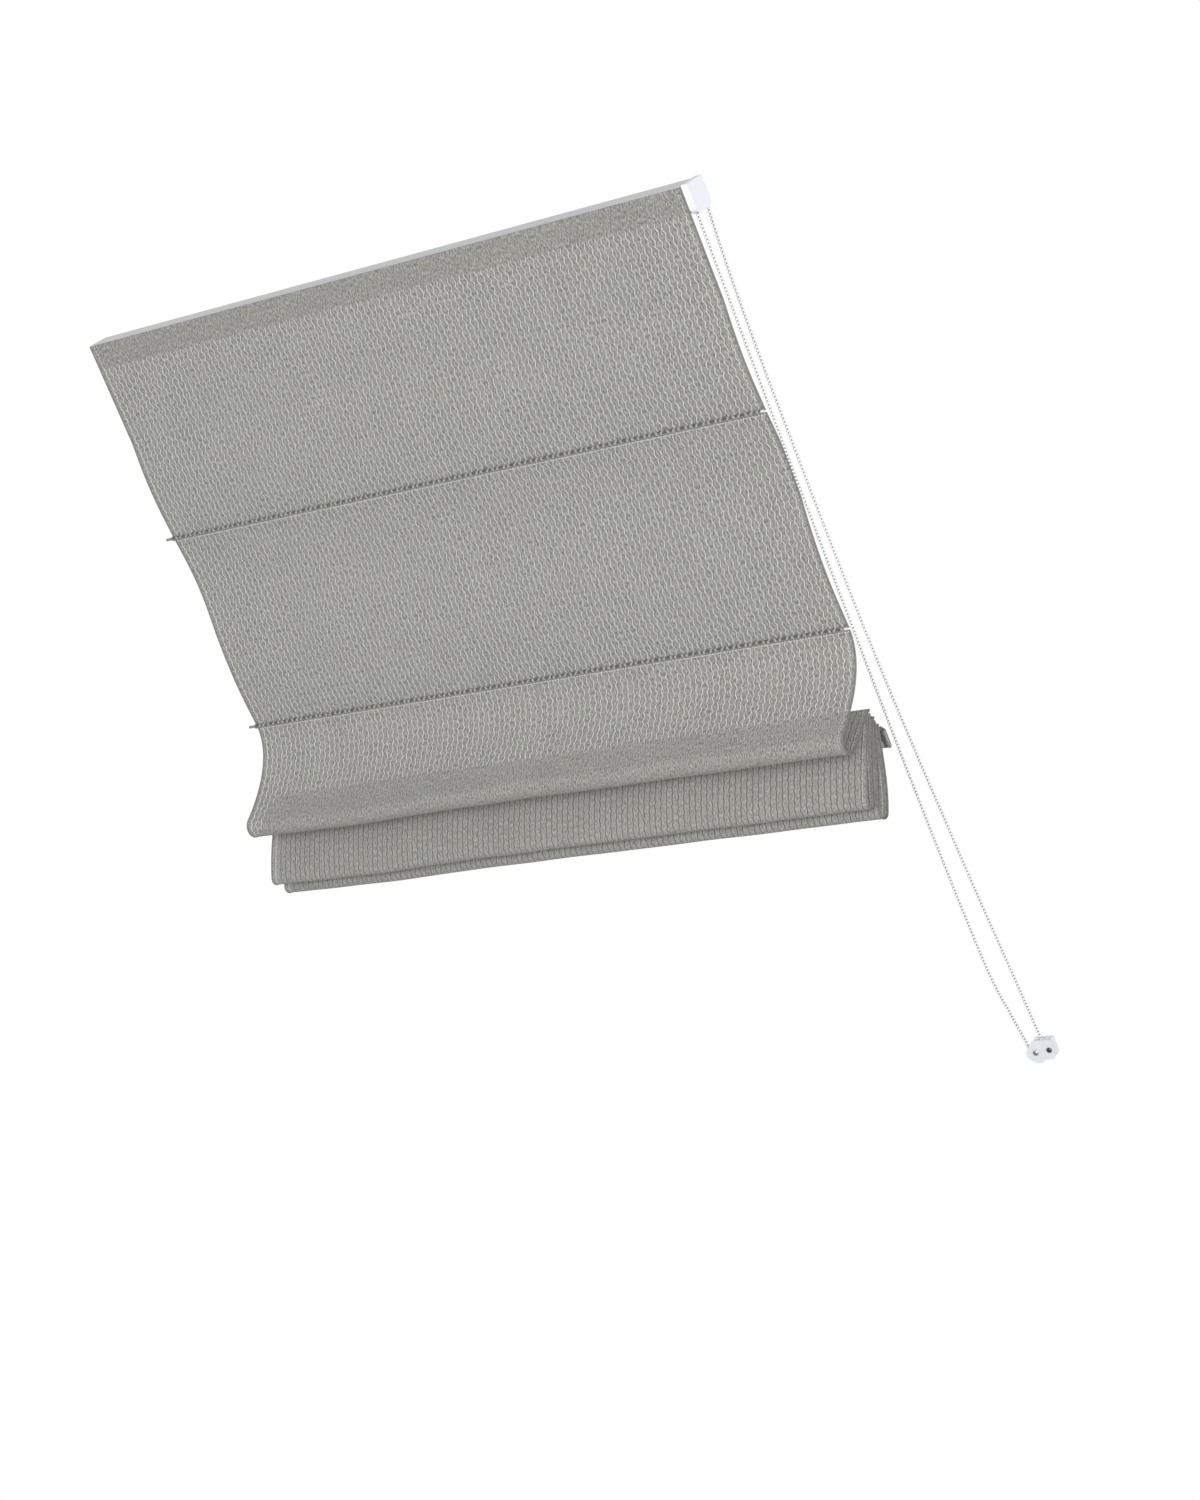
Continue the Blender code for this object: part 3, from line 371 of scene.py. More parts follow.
def knit_finish():
    """Warp-knitted polyester net in a warm grey."""
    net = Finish("knitted_net", roughness=0.85, Sheen_Weight=0.15, Sheen_Roughness=0.5)
    flat, across, down = net.along_cloth()
    course = down + net.noise(net.scaled(flat, 1.0, 0.4, 1.0), 11.0, 1.0) * DRIFT
    gathered = 1 - down.fade(*GATHERED)
    off = off_line(across, course, gathered)
    lines = (off + (net.noise(flat, 900.0, 1.0) - 0.5) * LINE_RAGGED).fade(*LINE)
    beside = off.fade(*LINE_SIDES) - off.fade(*LINE_CORE)
    rungs = course.off_repeat(RUNG_PITCH).fade(*RUNG)
    slants = (course * (2 * pi / SWING_PITCH) + 1.2).sine() * 0.14 + 0.86
    from_side = WIDE / 2 - (across - WIDE / 2).size()
    inner = 1 - from_side.fade(SIDE_HEM - 0.0015, SIDE_HEM)
    on_tape = down.fade(RAIL_HIGH - 0.001, RAIL_HIGH + 0.001)
    doubled_and_shaded = net.marked("doubled_and_shaded")
    below = net.marked("below_seam")

    # Fuzzy yarn, in grains of two to three millimetres and finer ones.
    grain = net.noise(net.scaled(flat, 1.0, 0.55, 1.0), 380.0, 2.0, 0.65)
    fibre = net.noise(flat, 1300.0, 2.0, 0.6)
    cloud = net.noise(flat, 22.0, 2.0)
    speckle = (grain - 0.5) * (2.3 - gathered * 0.5) + (fibre - 0.5) * 1.1 + (cloud - 0.5) * 0.15
    # Beside each line the yarn is painted darker as shade in the panels, and paler as highlight
    # in the gathered loops.
    shade = speckle + beside * (gathered * 0.5 - 0.22) + (0.43 + gathered * 0.03)
    yarn = net.blend(shade, YARN_DARK, YARN_LIGHT)

    # Thin threads cross the see-through lines and are painted pale as light from behind. Where
    # the tape lies behind the top edge, and in the gathered loops, that painted light is taken
    # away.
    yarn = net.blend(lines * (0.85 - on_tape * 0.6) * (1 - gathered), yarn, PALE_THREAD_AND_BACKLIGHT)

    # In the gathered loops the lines are painted dark as the shade of the cloth behind, more in
    # some stitches than in others.
    yarn = net.blend(off.fade(*LINE_SHADOW) * (grain * 1.6 - 0.25) * gathered, yarn, PAINTED_SHADE_IN_LINES)

    # Doubled cloth round a rod: dark stripes, partly the denser doubled cloth and partly painted
    # shade, and the lines are painted pale as light from the white rod behind.
    stripe = net.blend(grain * 0.5, POCKET_DARK, POCKET_LIGHT)
    yarn = net.blend(doubled_and_shaded, yarn, net.blend(off.fade(*LINE_GLOW) * 0.7, stripe, ROD_GLOW))

    # A sewn line under each rod and one inside each side edge.
    seam = (below - SEAM_BELOW).size().fade(*SEAM)
    side_seam = (from_side - SIDE_HEM).size().fade(*SIDE_SEAM)
    stitch = seam * across.off_repeat(STITCH_PITCH).fade(*STITCH_GAP)
    side_stitch = side_seam * down.off_repeat(STITCH_PITCH).fade(*STITCH_GAP)
    thread = stitch.larger(side_stitch) * (1 - doubled_and_shaded)
    yarn = net.blend(thread * 0.9, yarn, PALE_THREAD_AND_BACKLIGHT)

    # The holes are narrower where a thread slants or a rung crosses, and closed in doubled cloth.
    open_share = (1 - on_tape) * slants * (0.28 + 0.16 * rungs)
    holes = lines * inner * open_share * (1 - doubled_and_shaded) * (1 - seam)
    pucker = net.noise(net.scaled(flat, 1.0, 0.25, 1.0), 160.0, 2.0) * below.fade(*PUCKER)
    relief = grain * 0.5 + fibre * 0.3 + pucker * 1.6 - lines * 0.6 + thread * 0.6
    net.bumps(relief, YARN_DEPTH)
    return net.wear(Base_Color=yarn, Alpha=1 - holes)


net = knit_finish()

# %% [markdown]
# ## Bound edges
#
# Down both sides the cloth is turned over and overlocked, so the edge is a narrow cord of
# yarn, twice as dense and darker than the net. The finish is the same yarn with a slanted
# thread that wraps it every 2 mm.

# %% Edge binding
WRAP_PITCH = 0.0021
WRAP_THREAD = (0.0002, 0.0009)


def binding_finish():
    """Overlocked yarn along the sides of the cloth."""
    bound = Finish("bound_edge", roughness=0.9)
    flat, across, down = bound.along_cloth()
    loops = (down + across * 0.8).off_repeat(WRAP_PITCH).fade(*WRAP_THREAD)
    tangle = bound.noise(flat, 1400.0, 3.0, 0.6)
    yarn = bound.blend(loops * 0.4 + tangle * 0.6, colour(98, 97, 94), colour(150, 149, 144))
    bound.bumps(loops * 0.7 + tangle * 0.3, depth=0.0004)
    return bound.wear(Base_Color=yarn)


binding = binding_finish()

# %% [markdown]
# ## Moulded plastic
#
# The drive and its small parts are white plastic with a cool tone. A moulded skin is never
# quite even: it has a faint cloud from the flow in the mould, a fine matt grain, and slightly
# more dust and dullness in places. The chain tensioner is clear plastic with its own faint
# haze.

# %% Plastics
def moulded_finish(name, light, dark, roughness, depth=0.00006, **steady):
    """Moulded plastic: faint flow marks, a fine grain and some dullness."""
    moulded = Finish(name, **steady)
    where = moulded.place()
    flow = moulded.noise(moulded.scaled(where, 1.0, 2.5, 1.0), 60.0, 3.0)
    fine = moulded.noise(where, 2600.0, 1.0)
    moulded.bumps(fine * 0.6 + flow * 0.4, depth)
    return moulded.wear(Base_Color=moulded.blend(flow * 0.7 + fine * 0.3, dark, light),
                        Roughness=roughness + (flow - 0.5) * 0.12 + (fine - 0.5) * 0.08)


white_plastic = moulded_finish("white_moulded_plastic", colour(236, 239, 245),
                               colour(225, 228, 236), roughness=0.38)
clear_plastic = moulded_finish("clear_moulded_plastic", colour(244, 246, 249),
                               colour(228, 232, 238), roughness=0.12, depth=0.00001,
                               IOR=1.49, Alpha=0.72)
thread_skin = moulded_finish("chain_thread", colour(158, 160, 164), colour(128, 130, 134),
                             roughness=0.5)

# %% [markdown]
# ## Rods
#
# The rods are drawn glass fibre in white resin, with fine streaks along them. Their left ends
# stick out of the cloth and are painted grey as shade. The finish tells that part by its
# place along the rod, which needs no second material.

# %% Rod finish
def rod_finish():
    """White glass fibre, with painted grey shade where its left end stands out of the cloth."""
    rod = Finish("glass_fibre_rod", roughness=0.35)
    where = rod.place()
    fine = rod.noise(rod.scaled(where, 0.1, 1.0, 1.0), 1800.0, 2.0)
    tip_shade = (rod.part(where, 0) - LEFT).fade(-0.0012, 0.0)
    white = rod.blend(fine, colour(198, 198, 192), colour(228, 228, 224))
    grey = rod.blend(fine, colour(112, 112, 108), colour(150, 150, 145))
    rod.bumps(fine, depth=0.00004)
    return rod.wear(Base_Color=rod.blend(tip_shade, white, grey))


rod_skin = rod_finish()

# %% [markdown]
# ## Beads of the chain
#
# A bead is white in its middle. Towards the thread it is painted grey as the shade in the
# gap between two beads, and it is rougher there. Every point of a bead carries a number for
# how near the thread it is, and the finish reads it.

# %% Bead finish
def bead_finish():
    """White plastic beads with painted grey shade round the thread."""
    bead = Finish("bead_plastic", Coat_Weight=0.3)
    where = bead.place()
    fine = bead.noise(where, 1500.0, 2.0)
    near = bead.marked("shade_near_thread")
    white = bead.blend(fine, colour(214, 216, 219), colour(236, 237, 240))
    grey = bead.blend(fine, colour(118, 120, 124), colour(150, 152, 156))
    bead.bumps(fine, depth=0.00004)
    return bead.wear(Base_Color=bead.blend(near, white, grey), Roughness=0.22 + near * 0.4)


bead_plastic = bead_finish()

# %% [markdown]
# ## Metal, tape and cord
#
# The headrail is drawn aluminium with a satin anodised skin, and drawing leaves faint lines
# along its length. Screws and the shaft are zinc-plated steel, which is blotchy. Touch tape is
# a field of tiny hooks or loops, and a lift cord is a braid of eight strands.

# %% Metals
DRAWN = (0.02, 1.0, 1.0)
PLATED = (1.0, 1.0, 1.0)


def metal_finish(name, light, dark, roughness, stretch, metallic):
    """Metal with marks that are long in one direction and short across it."""
    metal = Finish(name, Metallic=metallic)
    where = metal.place()
    drawn = metal.noise(metal.scaled(where, *stretch), 900.0, 2.0)
    blotch = metal.noise(where, 45.0, 3.0)
    metal.bumps(drawn, depth=0.00003)
    return metal.wear(Base_Color=metal.blend(drawn * 0.5 + blotch * 0.5, dark, light),
                      Roughness=roughness + (blotch - 0.5) * 0.15 + (drawn - 0.5) * 0.1)


aluminium = metal_finish("satin_aluminium", colour(200, 200, 203), colour(176, 176, 180),
                         roughness=0.42, stretch=DRAWN, metallic=0.55)
steel = metal_finish("plated_steel", colour(196, 197, 198), colour(150, 151, 152),
                     roughness=0.30, stretch=PLATED, metallic=1.0)
dark_steel = metal_finish("blackened_steel", colour(92, 93, 95), colour(58, 59, 61),
                          roughness=0.38, stretch=PLATED, metallic=0.8)


# %% Touch tape and braid
BRAID_STRANDS = 4.0
BRAID_TWIST = 900.0


def tape_finish(name, pitch, light, dark):
    """Touch tape: a field of tiny hooks or loops."""
    tape = Finish(name, roughness=0.9)
    where = tape.place()
    inputs = {"Vector": where, "Scale": 1 / pitch}
    tufts = tape.node("ShaderNodeTexVoronoi", {"feature": "F1"}, inputs)
    fuzz = tape.noise(where, 2200.0, 2.0)
    height = (1 - tufts).larger(0.0) * 0.7 + fuzz * 0.3
    tape.bumps(height, depth=0.0005)
    return tape.wear(Base_Color=tape.blend(height, dark, light))


def braid_finish():
    """Braided polyester cord, white."""
    braid = Finish("braided_cord", roughness=0.75)
    around, along = braid.along_cloth()[1:]
    one = (around * BRAID_STRANDS + along * BRAID_TWIST).sine()
    other = (around * BRAID_STRANDS - along * BRAID_TWIST).sine()
    strands = (one * other) * 0.5 + 0.5
    braid.bumps(strands, depth=0.0002)
    return braid.wear(Base_Color=braid.blend(strands, colour(196, 196, 192),
                                             colour(236, 236, 232)))


HOOK_PITCH = 0.0011
LOOP_PITCH = 0.0007
hooks = tape_finish("hook_tape", HOOK_PITCH, colour(222, 222, 220), colour(168, 168, 165))
loops = tape_finish("loop_tape", LOOP_PITCH, colour(228, 228, 225), colour(186, 186, 183))
braid = braid_finish()

# %% [markdown]
# ## Lift cords
#
# A thin cord runs down behind the cloth from each drum to the bottom bar. It is a tube, too
# thin to need more than eight sides. Between two rods it is a piece of its own, because in the
# real blind more cord runs down there as the rods part. The last piece follows the lowest rod,
# and the others stay where they are made. A bevelled curve would be quicker, but the cord is
# built as a mesh.

# %% Tubes that follow points
SHARP = radians(40.0)


def keep(name, bm, finish, smooth=True):
    """Store a finished shape as a piece of the blind, at the origin, with its place in it."""
    mesh = bpy.data.meshes.new(name)
    bm.to_mesh(mesh)
    bm.free()
    mesh.materials.append(finish)
    if smooth:
        mesh.shade_smooth()
        mesh.set_sharp_from_angle(angle=SHARP)
    piece = bpy.data.objects.new(name, mesh)
    bpy.context.scene.collection.objects.link(piece)
    return piece


def join_rings(bm, uv, rings, around, along):
    """Close a tube: faces from ring to ring and a face at each end.

    around is the laid-flat width of one side, and along has a laid-flat length for each ring.
    """
    sides = len(rings[0])
    for n in range(len(rings) - 1):
        for k in range(sides):
            m = (k + 1) % sides
            face = bm.faces.new((rings[n][k], rings[n][m], rings[n + 1][m], rings[n + 1][k]))
            spots = ((k, n), (k + 1, n), (k + 1, n + 1), (k, n + 1))
            for loop, (turn, step) in zip(face.loops, spots):
                loop[uv].uv = (turn * around, along[step])
    bm.faces.new(rings[0][::-1])
    bm.faces.new(rings[-1])


def tube(places, radius, sides):
    """A closed tube through points, with its laid-flat coordinates."""
    bm = bmesh.new()
    uv = bm.loops.layers.uv.new("laid_flat")
    rings = []
    lengths = [0.0]
    for a, b in zip(places, places[1:]):
        lengths.append(lengths[-1] + (b - a).length)
    across = (places[1] - places[0]).orthogonal().normalized()
    for n, place in enumerate(places):
        way = (places[min(n + 1, len(places) - 1)] - places[max(n - 1, 0)]).normalized()
        across = (across - way * across.dot(way)).normalized()
        beside = way.cross(across)
        ring = []
        for k in range(sides):
            turn = 2 * pi * k / sides
            ring.append(bm.verts.new(place + (across * cos(turn) + beside * sin(turn)) * radius))
        rings.append(ring)
    join_rings(bm, uv, rings, 2 * pi / sides, lengths)
    return bm


def cord_mark(n):
    """The drop and the lift at which a lift cord passes rod n."""
    return ROD_DROPS[n], ROD_LIFTS[n] - POCKET - CORD_BEHIND


# %% Lift cords
CORD_STEP = 0.012
CORD_SIDES = 8
STOP_BEHIND = CLOTH_THICK / 2 + GAP + 0.0035
DRUM_MARK = (MIDDLE_DROP + DRUM_THICK / 4, SHAFT_LIFT + (DRUM_THICK + CORD_THICK) / 2 + GAP)
STOP_MARK = (BAR_TOP + BAR_HIGH / 2, HEM_LIFT - STOP_BEHIND)

# Each stretch: its name, where it starts and ends, the bodies there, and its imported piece.
STRETCHES = (
    ("lift_cord_top_", DRUM_MARK, cord_mark(0), "headrail", "rod_1", "cord_top_"),
    ("lift_cord_upper_", cord_mark(0), cord_mark(1), "rod_1", "rod_2", "cord_upper_"),
    ("lift_cord_lower_", cord_mark(1), cord_mark(2), "rod_2", "rod_3", "cord_lower_"),
    ("lift_cord_stack_a_", cord_mark(2), cord_mark(3), "rod_3", "rod_4", "cord_stack_"),
    ("lift_cord_stack_b_", cord_mark(3), cord_mark(4), "rod_4", "rod_5", None),
    ("lift_cord_end_", cord_mark(4), STOP_MARK, "rod_5", None, None),
)

for column, x in CORD_COLUMNS.items():
    for start_name, start, end, upper, lower, node in STRETCHES:
        a = spot(x, *start)
        b = spot(x, *end)
        steps = max(2, int((b - a).length / CORD_STEP))
        bm = tube([a.lerp(b, n / steps) for n in range(steps + 1)], CORD_THICK / 2, CORD_SIDES)
        piece = keep(start_name + column, bm, braid)
        if lower:
            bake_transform(piece)
        else:
            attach(piece, upper)
        if node:
            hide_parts(node + column)
print("three lift cords behind the cloth")

# %% [markdown]
# ## Bead chain
#
# The chain is a loop of moulded beads on a thread. It hangs from the sprocket in two runs,
# which sag a little towards the room, and goes round a pulley in the tensioner. Each bead is
# a small sphere with a few dozen faces, because there are more than five hundred of them. Its
# poles lie on the thread. They all live in one mesh, set out along the route at an even pitch.

# %% Route of the chain
# Marks along each hanging run: share of its length, how far out along the rail, and its sag.
FRONT_RUN = ((0.20, -0.0010, 0.0075), (0.45, -0.0022, 0.0150), (0.70, -0.0028, 0.0200),
             (0.88, -0.0030, 0.0180), (0.95, -0.0015, 0.0075), (0.985, -0.0002, 0.0007))
REAR_RUN = ((0.10, -0.0010, 0.0110), (0.25, -0.0014, 0.0190), (0.50, -0.0010, 0.0250),
            (0.75, 0.0004, 0.0170), (0.92, 0.0002, 0.0050), (0.985, 0.0, 0.0005))


def arc(centre, radius, start, end, steps):
    """Points on a circle from one angle to another, in radians, both ends included."""
    turn = [start + (end - start) * n / steps for n in range(steps + 1)]
    return [(centre[0] + radius * cos(a), centre[1] + radius * sin(a)) for a in turn]


def run_points(start, end, strays, steps=12):
    """A run of the chain as a smooth curve through its named points."""
    marks = []
    for share, out, sag in ((0.0, 0.0, 0.0), *strays, (1.0, 0.0, 0.0)):
        marks.append(start.lerp(end, share) + ALONG * out + ROOMWARD * sag)
    padded = [2 * marks[0] - marks[1]] + marks + [2 * marks[-1] - marks[-2]]
    line = []
    for a, b, c, d in zip(padded, padded[1:], padded[2:], padded[3:]):
        for k in range(steps):
            t = k / steps
            line.append(b + 0.5 * t * (c - a + t * (2 * a - 5 * b + 4 * c - d
                                                    + t * (3 * (b - c) + d - a))))
    return line[1:]


front_top = spot(DRIVE_X, MIDDLE_DROP, SHAFT_LIFT + SPROCKET)
rear_top = spot(DRIVE_X, MIDDLE_DROP, SHAFT_LIFT - SPROCKET)
front_low = spot(PULLEY_X - PULLEY, PULLEY_DROP, PULLEY_LIFT)
rear_low = spot(PULLEY_X + PULLEY, PULLEY_DROP, PULLEY_LIFT)
hanging = [front_top] + run_points(front_top, front_low, FRONT_RUN)
for x, drop in arc((PULLEY_X, PULLEY_DROP), PULLEY, pi, 0.0, 36):
    hanging.append(spot(x, drop, PULLEY_LIFT))
hanging += run_points(rear_low, rear_top, [(1 - s, o, g) for s, o, g in reversed(REAR_RUN)])
hanging.append(rear_top)
over_sprocket = [spot(DRIVE_X, drop, up)
                 for drop, up in arc((MIDDLE_DROP, SHAFT_LIFT), SPROCKET, 1.5 * pi, 0.5 * pi, 30)]
hanging_length = sum((b - a).length for a, b in zip(hanging, hanging[1:]))
print("the chain hangs in a loop of %.3f m" % hanging_length)


# %% Beads and thread
BEAD_PITCH = 0.0050
BEAD_SIDES = 8
BEAD_RINGS = 6
GREY_FROM = 0.5
GREY_OVER = 0.36
THREAD_THICK = 0.0016
THREAD_SIDES = 6
TINY = 1e-9


def along_route(line):
    """Places and directions of the beads: at an even pitch, from half a pitch in."""
    whole = sum((b - a).length for a, b in zip(line, line[1:]))
    count = round(whole / BEAD_PITCH)
    step = whole / count
    found = []
    reached = 0.0
    wanted = 0.5 * step
    for a, b in zip(line, line[1:]):
        length = (b - a).length
        while wanted <= reached + length + TINY and len(found) < count:
            found.append((a.lerp(b, (wanted - reached) / length), (b - a).normalized()))
            wanted += step
        reached += length
    return found


def beads_on(name, line):
    """All the beads of one stretch, as one piece: one bead, copied along the line."""
    one = bmesh.new()
    # How near the thread a point lies, which the finish paints as grey shade.
    near = one.verts.layers.float.new("shade_near_thread")
    bmesh.ops.create_uvsphere(one, u_segments=BEAD_SIDES, v_segments=BEAD_RINGS, radius=BEAD / 2)
    for vert in one.verts:
        towards = (abs(vert.co.z) / (BEAD / 2) - GREY_FROM) / GREY_OVER
        vert[near] = min(1.0, max(0.0, towards))
    swell = BEAD_WIDE / BEAD
    bmesh.ops.scale(one, vec=(swell, swell, 1.0), verts=one.verts[:])
    bead = bpy.data.meshes.new("one_bead")
    one.to_mesh(bead)
    one.free()
    bm = bmesh.new()
    places = along_route(line)
    for place, way in places:
        turn = way.to_track_quat("Z", "Y").to_matrix().to_4x4()
        copied = bead.copy()
        copied.transform(Matrix.Translation(place) @ turn)
        bm.from_mesh(copied)
        bpy.data.meshes.remove(copied)
    print(name, "has", len(places), "beads")
    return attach(keep(name, bm, bead_plastic), "headrail")


def thread_on(name, line):
    """The thread of one stretch."""
    bm = tube(line, THREAD_THICK / 2, THREAD_SIDES)
    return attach(keep(name, bm, thread_skin), "headrail")


beads = beads_on("chain_beads", hanging)
top_beads = beads_on("chain_beads_on_sprocket", over_sprocket)
thread = thread_on("chain_thread", hanging)
top_thread = thread_on("chain_thread_on_sprocket", over_sprocket)
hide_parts("ball_chain")

# %% [markdown]
# ## How the cloth hangs
#
# From the side, the whole blind is one line: straight down to the first rod, round it in a
# pocket, down to the second, and then in three loops that hang in front of the gathered rods.
# Each loop falls from its upper rod, turns round at the bottom and climbs to the next rod.
# The line is made of Bezier curves and arcs, because cloth that hangs from two edges takes
# smooth curves. A cloth simulation would give a shape too, but it would not keep to the
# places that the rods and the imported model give.

# %% The line of the cloth seen from the side
# One number for each of the three loops: how far its turn lies below the rod above and in
# front of the flat cloth, the radius of the turn, how far the loop leans there, and the angles
# at which the cloth leaves the rod above and arrives at the next one.
FOLD_DROPS = (0.1080, 0.0942, 0.1038)
FOLD_LIFTS = (0.0945, 0.0985, 0.0805)
FOLD_RADII = (0.0160, 0.0090, 0.0096)
FOLD_LEANS = (radians(63.0), radians(30.0), radians(38.0))
FOLD_LEAVES = (0.0, radians(45.0), radians(30.0))
FOLD_ARRIVES = (radians(66.0), radians(42.0), radians(22.0))
FRONT_STEPS = 28
REAR_STEPS = 24
TURN_STEPS = 10
WRAP_STEPS = 22
WAVE_STEPS = 18
HEM_TURN = 10
FRONT_REACH = 0.45
REAR_REACH = 0.35
PANEL_POCKET = radians(300.0)
FOLD_POCKET = radians(270.0)
HEM_LEAVES = radians(-15.0)
HEM_CLOSES = radians(150.0)
CLEAR = POCKET + CLOTH_THICK / 2 + GAP


def bezier(a, b, c, d, steps):
    """Points on a cubic curve from a to d, both ends included."""
    line = []
    for n in range(steps + 1):
        t = n / steps
        s = 1 - t
        line.append(tuple(s ** 3 * a[k] + 3 * s * s * t * b[k] + 3 * s * t * t * c[k]
                          + t ** 3 * d[k] for k in range(2)))
    return line


def step_off(point, angle, length):
    """The point a length away in the plane of drop and lift."""
    return (point[0] + length * cos(angle), point[1] + length * sin(angle))


def wrap(n, start, turn):
    """The pocket: cloth laid round rod n from one side of it."""
    return arc((ROD_DROPS[n], ROD_LIFTS[n]), POCKET, start, start + turn, WRAP_STEPS)


def below_rod(n, leaves):
    """Where the next piece of cloth starts, clear of the pocket round rod n."""
    return step_off((ROD_DROPS[n], ROD_LIFTS[n]), leaves, CLEAR)


def behind_rod(n):
    """The same for cloth that goes on down at the back of rod n."""
    near = POCKET - CLOTH_THICK / 2
    return (ROD_DROPS[n] + sqrt(CLEAR ** 2 - near ** 2), ROD_LIFTS[n] - POCKET)


def half_wave(start, end, swing):
    """Half a panel, without its last point, in one slow swing off its plane."""
    line = []
    for k in range(WAVE_STEPS):
        share = k / WAVE_STEPS
        line.append((start + (end - start) * share, CLOTH_LIFT + swing * sin(pi * share)))
    return line


def panel_line(start, n, back, out):
    """Down to rod n and round it, with the number of the point where the halves meet."""
    middle = (start + ROD_DROPS[n]) / 2
    upper = half_wave(start, middle, -back)
    lower = half_wave(middle, ROD_DROPS[n], out)
    pocket = wrap(n, -0.5 * pi, PANEL_POCKET)
    return upper + lower + pocket, len(upper), len(upper + lower)


def fold_line(n):
    """Down the room side of loop n, round its turn, and up into the pocket of the next rod."""
    above = n + 1
    lean = FOLD_LEANS[n]
    r = FOLD_RADII[n]
    leaves = FOLD_LEAVES[n]
    start = below_rod(above, leaves) if leaves else behind_rod(above)
    turn = (ROD_DROPS[above] + FOLD_DROPS[n], CLOTH_LIFT + FOLD_LIFTS[n])
    far = step_off(turn, lean - 0.5 * pi, 2 * r)
    reach = FOLD_DROPS[n] * FRONT_REACH
    line = bezier(start, step_off(start, leaves, reach), step_off(turn, lean + pi, reach), turn,
                  FRONT_STEPS)
    middle = step_off(turn, lean - 0.5 * pi, r)
    line += arc(middle, r, lean + 0.5 * pi, lean - 0.5 * pi, 2 * TURN_STEPS)[1:]
    arrives = FOLD_ARRIVES[n]
    pocket = wrap(above + 1, arrives + 0.5 * pi, FOLD_POCKET)
    touch = pocket[0]
    reach = REAR_REACH * sqrt((far[0] - touch[0]) ** 2 + (far[1] - touch[1]) ** 2)
    line += bezier(far, step_off(far, lean + pi, reach), step_off(touch, arrives, reach),
                   touch, REAR_STEPS)[1:]
    return line + pocket[1:], FRONT_STEPS + TURN_STEPS, len(line)


def points_down(start, end, lift, steps=6):
    """Points between two drops at one lift, without both ends."""
    return [(start + (end - start) * n / steps, lift) for n in range(1, steps)]


def hem_line():
    """Down behind the gathered rods and once round the flat bottom bar."""
    half = HEM_ROUND
    low = BAR_TOP + BAR_HIGH
    start = below_rod(4, HEM_LEAVES)
    line = bezier(start, step_off(start, HEM_LEAVES, half), (BAR_TOP - 2 * half, HEM_LIFT),
                  (BAR_TOP, HEM_LIFT), HEM_TURN)
    line += points_down(BAR_TOP, low, HEM_LIFT)
    line += arc((low, HEM_LIFT + half), half, -0.5 * pi, 0.5 * pi, 10)
    line += points_down(low, BAR_TOP, HEM_LIFT + 2 * half)
    return line + arc((BAR_TOP, HEM_LIFT + half), half, 0.5 * pi, 0.5 * pi + HEM_CLOSES, 8)


print("a loop is drawn with", len(fold_line(0)[0]), "points from the side")

# %% [markdown]
# ## Sheets of cloth
#
# A sheet starts as a grid: many columns across the width, and a row for each point of the
# side line. Two small movements are laid on top. Towards the left the loops droop by a few
# millimetres, because the cloth hangs slacker there, and slow ripples run down the drop. Both
# die out at the rods, which hold the cloth straight. Where the cloth is sewn round a rod it
# lies double, and an attribute on the points tells the finish how dark to paint it there:
# partly for the doubled cloth, and darker on the upper side of the rod as painted shade.

# %% One sheet from its line
COLUMNS = 86
POCKET_END = RIGHT - 0.0060
NO_SLACK = (0.0, 0.0)

# Shares of the width: where the loops droop most, and how far from there the droop reaches.
SLACK_AT = 0.16
SLACK_REACH = 0.26

# Each ripple: its height, how often it comes, where it starts, and how it slants on the way down.
RIPPLES = ((1.0, 31.0, 0.0, 2.0), (0.6, 53.0, 1.7, 3.1))

# The bound edge in section, on the left side: how far in, and the height in shares of its half.
EDGE_HALF = 0.00065
EDGE_STEP = 0.0009
EDGE_SECTION = ((0.0, 0.55), (0.0, -0.55), (0.0005, -1.0), (0.0020, -1.0),
                (0.0024, -0.5), (0.0024, 0.5), (0.0020, 1.0), (0.0005, 1.0))


def slack(x, share, droop, ripple):
    """How far the cloth hangs below and in front of its line: (drop, lift)."""
    free = sin(pi * share)
    across = (x - LEFT) / WIDE
    left = max(0.0, 1.0 - abs(across - SLACK_AT) / SLACK_REACH)
    low = droop * left * left * (3 - 2 * left) * free ** 2
    wave = sum(high * sin(across * often + start + share * slant)
               for high, often, start, slant in RIPPLES)
    return low, ripple * wave * free ** 2


